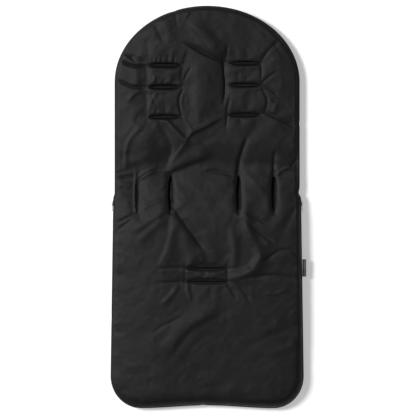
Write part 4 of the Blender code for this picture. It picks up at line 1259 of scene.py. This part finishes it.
# Zip tapes and coils
# One tape hangs from the back's edge and one stands up from the cover's, and on the edge of each runs a nylon
# coil whose loops reach between the other's.
ZIP_INSET = 0.0015
TAPE_THICKNESS = 0.0009
TAPE_NEAR = 0.0031
TAPE_FAR = 0.0055
TAPE_STEPS = 500
COIL_PITCH = 0.0018
COIL_WIRE = 0.00065
COIL_REACH = 0.00030
COIL_DEPTH = 0.0011
COIL_STEPS = 2400
COIL_LOOK_AHEAD = 0.001
COIL_SHIFT = 0.25
# How far from the chain's middle each ring of a loop lies, and its share of the wire's size
COIL_RINGS = ((-COIL_REACH, 0.35), (-COIL_REACH * 0.5, 0.85), (0.0008, 1.0), (TAPE_NEAR - 0.0003, 0.9),
              (TAPE_NEAR - 0.0001, 0.5))
Y_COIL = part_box("zip_coil_back")[1].y
BOX_SHARES = ((0.0, 0.1), (0.0, 0.9), (0.1, 1.0), (0.9, 1.0), (1.0, 0.9), (1.0, 0.1), (0.9, 0.0), (0.1, 0.0))


def below(line, y_top, last=None):
    """A side line from y_top down to just before its point numbered last, or to its end."""
    start = [(np.interp(-y_top, -line[:, 1], line[:, 0]), y_top)]
    kept = line[:last]
    return np.concatenate([start, kept[kept[:, 1] < y_top]])


def lower_line(inset, y_top, count):
    """The outline below y_top, from the right side round the foot to the left side."""
    right, left = (below(side_line(side, inset), y_top) for side in (1.0, -1.0))
    return spaced(np.concatenate([right, left[-2::-1]]), count)


def strip_along(name, line, aside, low, high, shares):
    """A strip that follows a line: its section is so wide across the line, between the low and high
    heights."""
    shares = np.array(shares)
    offset = aside * (shares[:, 0] - 0.5)
    plan_points = line[:, None] + offset[None, :, None] * inwards(line)[:, None]
    height = low[:, None] + (high - low)[:, None] * shares[None, :, 1]
    points = with_height(plan_points, height)
    run = length_along(line)[:, None] + 0 * height
    uv = plan(run, np.linspace(0.0, 1.0, len(shares))[None] + 0 * run)
    return turned_out(lay_mesh(name, points, ring_faces(*points.shape[:2]), uv))


def coil_teeth(name, sign, shift):
    """A row of loops, each as a straight oval bar with rounded ends that reaches from the tape to just past
    the chain's middle. The row is shifted along the tape by so many pitches."""
    line = lower_line(ZIP_INSET, Y_COIL, COIL_STEPS)
    run = length_along(line)
    count = int(run[-1] / COIL_PITCH) - 1
    at = (np.arange(count) + 0.5 + shift) * COIL_PITCH
    centre = at_lengths(line, run, at)
    step = unit(at_lengths(line, run, at + COIL_LOOK_AHEAD) - centre)
    outward = plan(-step[:, 1], step[:, 0])
    middle = chain_height(centre[:, 1])
    rings = np.array(COIL_RINGS)
    turn = around(THREAD_SIDES)
    wide = COIL_WIRE / 2 * rings[:, 1, None] * np.cos(turn)[None]
    deep = COIL_DEPTH / 2 * rings[:, 1, None] * np.sin(turn)[None]
    ground = centre[:, None, None] + wide[None, ..., None] * step[:, None, None]
    ground = ground + deep[None, ..., None] * outward[:, None, None]
    height = middle[:, None, None] + sign * rings[None, :, :1] + 0 * wide[None]
    points = with_height(ground, height)
    return turned_out(lay_mesh(name, points, repeated_rings(count, len(rings), len(turn))))


nylon = pile_finish("black_nylon_coil", (0.012, 0.012, 0.013), 0.35, 0.3, 0.00003)[0]
tape_cloth = tape_finish("black_zip_tape", (0.010, 0.010, 0.0105), 0.0007, 0.75)
zip_line = lower_line(ZIP_INSET, Y_WAIST, TAPE_STEPS)
zip_middle = chain_height(zip_line[:, 1])
for part, sign, body in (("back", 1.0, "seat_back"), ("cover", -1.0, "front_cover")):
    low, high = sorted((sign * TAPE_NEAR, sign * TAPE_FAR))
    tape = strip_along(f"{part}_zip_tape", zip_line, TAPE_THICKNESS, zip_middle + low, zip_middle + high,
                       BOX_SHARES)
    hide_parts(f"zip_tape_{part}")
    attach(tape, body)
    tape.data.materials.append(tape_cloth)
    teeth = coil_teeth(f"{part}_zip_coil", sign, COIL_SHIFT * sign)
    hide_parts(f"zip_coil_{part}")
    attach(teeth, body)
    teeth.data.materials.append(nylon)

# Zip stops, sliders and pulls
# Each coil ends in a metal clip. The sliders are two channelled plates on a post, and a bail over the outer
# plate holds the pull.
PLATE_IN, PLATE_OUT = 0.00135, 0.00275
PLATE_WALL = 0.0007
PLATE_FLANGE = 0.00075
PLATE_BEVEL_OUT = 0.0004
PLATE_BEVEL_UP = 0.0005
PIN_OUT = 0.0036
PULL_AT = 0.0065
POST_HALF = 0.00035
POST_STATIONS = (0.0, 0.0006, 0.0034, 0.0040)
BAIL_RADII = (0.00034, 0.0011)
PLATE_RINGS, PULL_RINGS = 25, 30
TUBE_CURVE_STEPS, TUBE_STEPS = 12, 6
# Half height of a plate, and how much of its flanges is there, at places along it
PLATE_SHAPE = ((0.0, 0.0026, 0.0), (0.0008, 0.0037, 0.1), (0.0025, 0.0044, 0.8), (0.0060, 0.0045, 1.0),
               (0.0095, 0.0041, 1.0), (0.0120, 0.0034, 0.5), (0.0130, 0.0026, 0.1))
# The bail's middle line, along the slider and out from it
BAIL_LINE = ((0.0036, 0.0026), (0.0036, 0.0038), (0.0041, 0.0046), (0.0052, 0.0048), (0.0078, 0.0048),
             (0.0089, 0.0046), (0.0094, 0.0038), (0.0094, 0.0026))
# The pull's half width at places along it
PULL_SHAPE = ((0.0104, 0.0022), (0.0110, 0.0027), (0.0145, 0.0022), (0.0185, 0.0019), (0.0225, 0.0024),
              (0.0252, 0.0025), (0.0263, 0.0018), (0.0266, 0.0010))
PULL_YOKE = ((0.0112, 0.0019), (0.0100, 0.0020), (0.0075, 0.0020), (0.0066, 0.0017), (0.0065, 0.0),
             (0.0066, -0.0017), (0.0075, -0.0020), (0.0100, -0.0020), (0.0112, -0.0019))
YOKE_RADIUS = 0.00048
# The tab's half thickness at its rims and in its sunk field, its bevel, and where rims and field end
PULL_HALF, PULL_SUNK = 0.0006, 0.00035
PULL_BEVEL = 0.0003
PULL_RIM_SHARE, PULL_FIELD_SHARE = 0.62, 0.52
CLIP_OUT, CLIP_HALF = 0.0017, 0.0011
CLIP_ROUND_POWER = 0.4
CLIP_SIDES = 16
CLIP_SHAPE = ((0.0, 0.75), (0.0004, 1.0), (0.0026, 1.0), (0.0030, 0.75))


def at_side(side, places):
    """Points given along the chain, out from the side and up, from the slider's place, in the world."""
    sign = 1.0 if side == "right" else -1.0
    pivot = np.array(joints[f"pull_swing_{side}"]["pos_m"])
    chain = zip_line[zip_line[:, 0] * sign > 0.0]
    chain = chain[(chain[:, 1] > Y_CORNER)]
    top, low = chain[chain[:, 1].argmax()], chain[chain[:, 1].argmin()]
    along = np.append((low - top) / np.linalg.norm(low - top), 0.0)
    out = np.array((-sign * along[1], sign * along[0], 0.0))
    axes = np.stack([along, out, (0.0, 0.0, 1.0)])
    return pivot - PULL_AT * along - PIN_OUT * out + places @ axes


def tube(line, radius, corners=10):
    """Rings round a smooth line of points, each square to it, TUBE_STEPS of them for each point given."""
    line = spaced(finer(np.array(line), TUBE_CURVE_STEPS * len(line)), TUBE_STEPS * len(line))
    step = unit(np.gradient(line, axis=0))
    flat_axis = np.array((0.0, 0.0, 1.0)) if np.abs(step[:, 2]).max() < 0.5 else np.array((0.0, 1.0, 0.0))
    aside = unit(np.cross(step, flat_axis))
    turn = around(corners)[None, :, None]
    radius = np.broadcast_to(radius, (2,))
    return line[:, None] + radius[0] * np.cos(turn) * aside[:, None] + radius[1] * np.sin(turn) * flat_axis


def in_section(stations, section):
    """Rings along a piece: section gives the out and up of each ring's corners from its half height and
    share."""
    rings = [with_height(plan(at, section(half, share)[:, 0]), section(half, share)[:, 1])
             for at, half, share in stations]
    return np.stack(rings)


def plate_section(half, share):
    """A channel: a flat plate with a flange on both edges, which points at the other plate."""
    lip, wall = PLATE_IN - PLATE_FLANGE * share, half - PLATE_WALL
    side = [(wall, PLATE_IN), (wall, lip), (half, lip), (half, PLATE_OUT - PLATE_BEVEL_OUT),
            (half - PLATE_BEVEL_UP, PLATE_OUT)]
    section = side + [(-up, out) for up, out in side[::-1]]
    return np.array(section)[:, ::-1]


def pull_section(half, share):
    """A tab that is sunk a little between its rims."""
    top = [(half - PULL_BEVEL, PULL_HALF), (half * PULL_RIM_SHARE, PULL_HALF),
           (half * PULL_FIELD_SHARE, PULL_SUNK)]
    upper = [(half, PULL_BEVEL)] + top + [(-up, out) for up, out in top[::-1]] + [(-half, PULL_BEVEL)]
    section = upper + [(up, -out) for up, out in upper[::-1]]
    return np.array(section)[:, ::-1] + (PIN_OUT, 0.0)


def clip_section(half, share):
    """A block with rounded edges, so wide and high."""
    turn = around(CLIP_SIDES)
    shape = np.stack([np.cos(turn), np.sin(turn)], axis=1)
    shape = np.sign(shape) * np.abs(shape) ** CLIP_ROUND_POWER
    return shape * (CLIP_OUT * share, CLIP_HALF * share) + (0.0, half)


def smooth_stations(stations, count):
    return finer(np.array(stations), count)


def metal_group():
    """Cast and worn metal: fine noise mottles the colour and roughness, and a wider one wears it in
    patches."""
    tree, given, made = finish_group(
        "worn_metal",
        [("Colour", "Color", (0.3, 0.3, 0.3, 1.0)), ("Wear", "Float", 0.3), ("Gloss", "Float", 0.35)])
    place = tree.nodes.new("ShaderNodeTexCoord").outputs["Object"]
    grain = noise_node(tree, place, 2500.0, 2.0)
    worn = math_node(tree, "SUBTRACT", noise_node(tree, place, 350.0, 3.0), 0.5)
    uneven = math_node(tree, "MULTIPLY", worn, given.outputs["Wear"])
    factor = math_node(tree, "ADD", uneven, 1.0)
    rough = math_node(tree, "ADD", given.outputs["Gloss"], math_node(tree, "MULTIPLY", uneven, 0.6))
    give(tree, made, tinted(tree, given.outputs["Colour"], factor), grain, rough)
    return tree


worn_metal = metal_group()


def metal_finish(name, colour, gloss, metallic, wear):
    material, tree, shader = principled(name, colour, gloss, metallic)
    finish_with(tree, shader, worn_metal, {"Colour": (*colour, 1.0), "Wear": wear, "Gloss": gloss}, 0.00003)
    return material


def metal_piece(name, side, parts, node, body, material):
    """One mesh from several closed parts, each as rings along it."""
    points, faces, count = [], [], 0
    for rings in parts:
        faces += [group + count for group in ring_faces(*rings.shape[:2])]
        points.append(at_side(side, rings.reshape(-1, 3)))
        count += rings.shape[0] * rings.shape[1]
    piece = turned_out(lay_mesh(name, np.concatenate(points), faces))
    piece.data.materials.append(material)
    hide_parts(node)
    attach(piece, body)


clip_metal = metal_finish("steel_clip", (0.16, 0.16, 0.165), 0.50, 0.9, 0.6)
slider_metal = metal_finish("black_slider_metal", (0.020, 0.020, 0.021), 0.35, 0.6, 0.8)
pull_metal = metal_finish("steel_pull_metal", (0.17, 0.17, 0.175), 0.48, 0.9, 0.6)
outer_plate = in_section(smooth_stations(PLATE_SHAPE, PLATE_RINGS), plate_section)
inner_plate = outer_plate * (1.0, -1.0, 1.0)
post = in_section([(at, 0.0, 1.0) for at in POST_STATIONS],
                  lambda half, share: np.array(((-PLATE_IN, -POST_HALF), (PLATE_IN, -POST_HALF),
                                                (PLATE_IN, POST_HALF), (-PLATE_IN, POST_HALF))))
bail = tube(plan(*np.array(BAIL_LINE).T)[:, [0, 1, 1]] * (1.0, 1.0, 0.0), BAIL_RADII)
yoke_line = np.array([(at, PIN_OUT, up) for at, up in PULL_YOKE])
yoke = tube(yoke_line[:, [0, 2, 1]], YOKE_RADIUS)[..., [0, 2, 1]]
tab = in_section(smooth_stations([(at, half, 1.0) for at, half in PULL_SHAPE], PULL_RINGS), pull_section)
clip_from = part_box("zip_slider_left")[1].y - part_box("zip_stop_back_left")[1].y
for side in ("left", "right"):
    metal_piece(f"{side}_slider", side, (outer_plate, inner_plate, post, bail), f"zip_slider_{side}",
                f"slider_{side}", slider_metal)
    metal_piece(f"{side}_pull", side, (tab, yoke), f"zip_pull_{side}", f"pull_{side}",
                pull_metal)
    for part, sign, body in (("back", 1.0, "seat_back"), ("cover", -1.0, "front_cover")):
        stations = [(clip_from + at, sign * CLIP_OUT, share) for at, share in CLIP_SHAPE]
        clip = in_section(stations, clip_section)
        metal_piece(f"{side}_{part}_clip", side, (clip,), f"zip_stop_{part}_{side}", body,
                    clip_metal)

# Front cover
# The cover of the pocket lies under the seat part: an outer shell below, a wadding and a fleece lining on
# top, cut straight at the waist.
COVER_ROWS, COVER_COLUMNS = 96, 100
COVER_EDGE_THICKNESS = 0.0045
COVER_CREST = 0.014
COVER_RISE_RUN = 0.070
COVER_ROLL = 0.030
HEM_HEIGHT = 0.0085
LAYER_GAP = 0.0004
RIM_STEPS, SIDE_TAPE_STEPS, HEM_STEPS = 360, 700, 120
cover_rim = lower_line(LAYER_INSET, Y_WAIST, RIM_STEPS)


def cover_high(y):
    return chain_height(y) - EDGE_OVER_CHAIN


def cover_plan(rows, columns, inset):
    """A grid over the cover, between its straight top, its sides and its foot."""
    sides = [side_line(side, inset) for side in (-1.0, 1.0)]
    west, east = (spaced(below(line, Y_WAIST - inset, FOOT_CUT + 1)[::-1], rows) for line in sides)
    top = spaced(np.array([west[-1], east[-1]]), columns)
    return patch(west, east, foot_edge(*sides, columns), top)


def cover_heights(points):
    """The cover's outer face, which curves down to the floor, and its lined face."""
    y = points[..., 1]
    away = distance_to(cover_rim, points)
    low, high = cover_high(y) - COVER_EDGE_THICKNESS, cover_high(y)
    crown = HEM_HEIGHT + (COVER_CREST - HEM_HEIGHT) * smooth((Y_WAIST - y) / COVER_RISE_RUN)
    return low * (1.0 - roll(away / COVER_ROLL)), high + (crown - high) * smooth(away / SLOPE_REACH)


cover_grid = cover_plan(COVER_ROWS, COVER_COLUMNS, LAYER_INSET)
cover_faces = grid_faces(COVER_ROWS, COVER_COLUMNS)
cover_ground = cover_grid.reshape(-1, 2)
cover_under, cover_over = cover_heights(cover_ground)
layers = (
    ("cover_shell_cloth", cover_under, cover_under + SHELL_THICKNESS, "cover_outer_shell", "black_polyester"),
    ("cover_batt", cover_under + SHELL_THICKNESS + LAYER_GAP, cover_over - LINING_THICKNESS - LAYER_GAP,
     "cover_wadding", "wadding"),
    ("cover_fleece", cover_over - LINING_THICKNESS, cover_over, "cover_lining", "lining_fleece"),
)
for (name, low, high, node, finish), material in zip(layers, (shell_cloth, batt, fleece)):
    layer = slab(name, with_height(cover_ground, high), with_height(cover_ground, low), cover_faces)
    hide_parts(node)
    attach(layer, "front_cover")
    layer.data.materials.append(material)

cover_outer = lower_line(0.0, Y_WAIST, SIDE_TAPE_STEPS)
cover_inner = lower_line(BINDING_WIDTH, Y_WAIST, SIDE_TAPE_STEPS)
top_edge = cover_high(cover_outer[:, 1])
cover_binding = edge_tape(
    "cover_side_binding", cover_outer, cover_inner, top_edge - COVER_EDGE_THICKNESS, top_edge, False
)
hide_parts("cover_edge_binding")
hem_low, hem_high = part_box("cover_top_hem")
hem_x = np.linspace(hem_low.x, hem_high.x, HEM_STEPS)
hem_under, hem_over = cover_heights(plan(hem_x, Y_WAIST - LAYER_INSET))
cover_hem = edge_tape(
    "cover_waist_hem", plan(hem_x, Y_WAIST), plan(hem_x, Y_WAIST - BINDING_WIDTH), hem_under, hem_over, False
)
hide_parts("cover_top_hem")
for piece in (cover_binding, cover_hem):
    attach(piece, "front_cover")
    piece.data.materials.append(binding_cloth)

# Floor
# A plain pale floor that looks white to the camera and still takes the footmuff's shadow.
FLOOR_SIDE = 12.0
FLOOR_GLOW = 0.38
floor_half = FLOOR_SIDE / 2
floor_points = np.array([(-floor_half, -floor_half, 0), (floor_half, -floor_half, 0),
                         (floor_half, floor_half, 0), (-floor_half, floor_half, 0)])
floor = lay_mesh("floor", floor_points, np.array([[0, 1, 2, 3]]))
paper, tree, shader = principled("pale_floor", (0.80, 0.80, 0.80), 0.9)
shader.inputs["Specular IOR Level"].default_value = 0.0
rays = tree.nodes.new("ShaderNodeLightPath").outputs
seen = math_node(tree, "MAXIMUM", rays["Is Camera Ray"], rays["Is Glossy Ray"])
seen = math_node(tree, "MAXIMUM", seen, rays["Is Transmission Ray"])
shader.inputs["Emission Color"].default_value = (1.0, 1.0, 1.0, 1.0)
tree.links.new(math_node(tree, "MULTIPLY", seen, FLOOR_GLOW), shader.inputs["Emission Strength"])
floor.data.materials.append(paper)

# Lamps
# One soft lamp stands far off to the left and a little towards the head, at about 45 degrees, and the world
# gives the rest from all sides.
TARGET = Vector((0.0, 0.0, 0.02))


def add_lamp(name, place, side, watts):
    """A square area lamp that faces the footmuff's middle."""
    lamp = bpy.data.objects.new(name, bpy.data.lights.new(name, "AREA"))
    lamp.data.shape = "SQUARE"
    lamp.data.size = side
    lamp.data.energy = watts
    lamp.location = place
    lamp.rotation_euler = (TARGET - Vector(place)).to_track_quat("-Z", "Y").to_euler()
    bpy.context.scene.collection.objects.link(lamp)


add_lamp("key_lamp", (-7.00, 2.30, 7.60), 3.2, 1270.0)
world = bpy.data.worlds.new("studio")
bpy.context.scene.world = world
world.use_nodes = True
world.node_tree.nodes["Background"].inputs["Color"].default_value = (1.0, 1.0, 1.0, 1.0)
world.node_tree.nodes["Background"].inputs["Strength"].default_value = 0.17
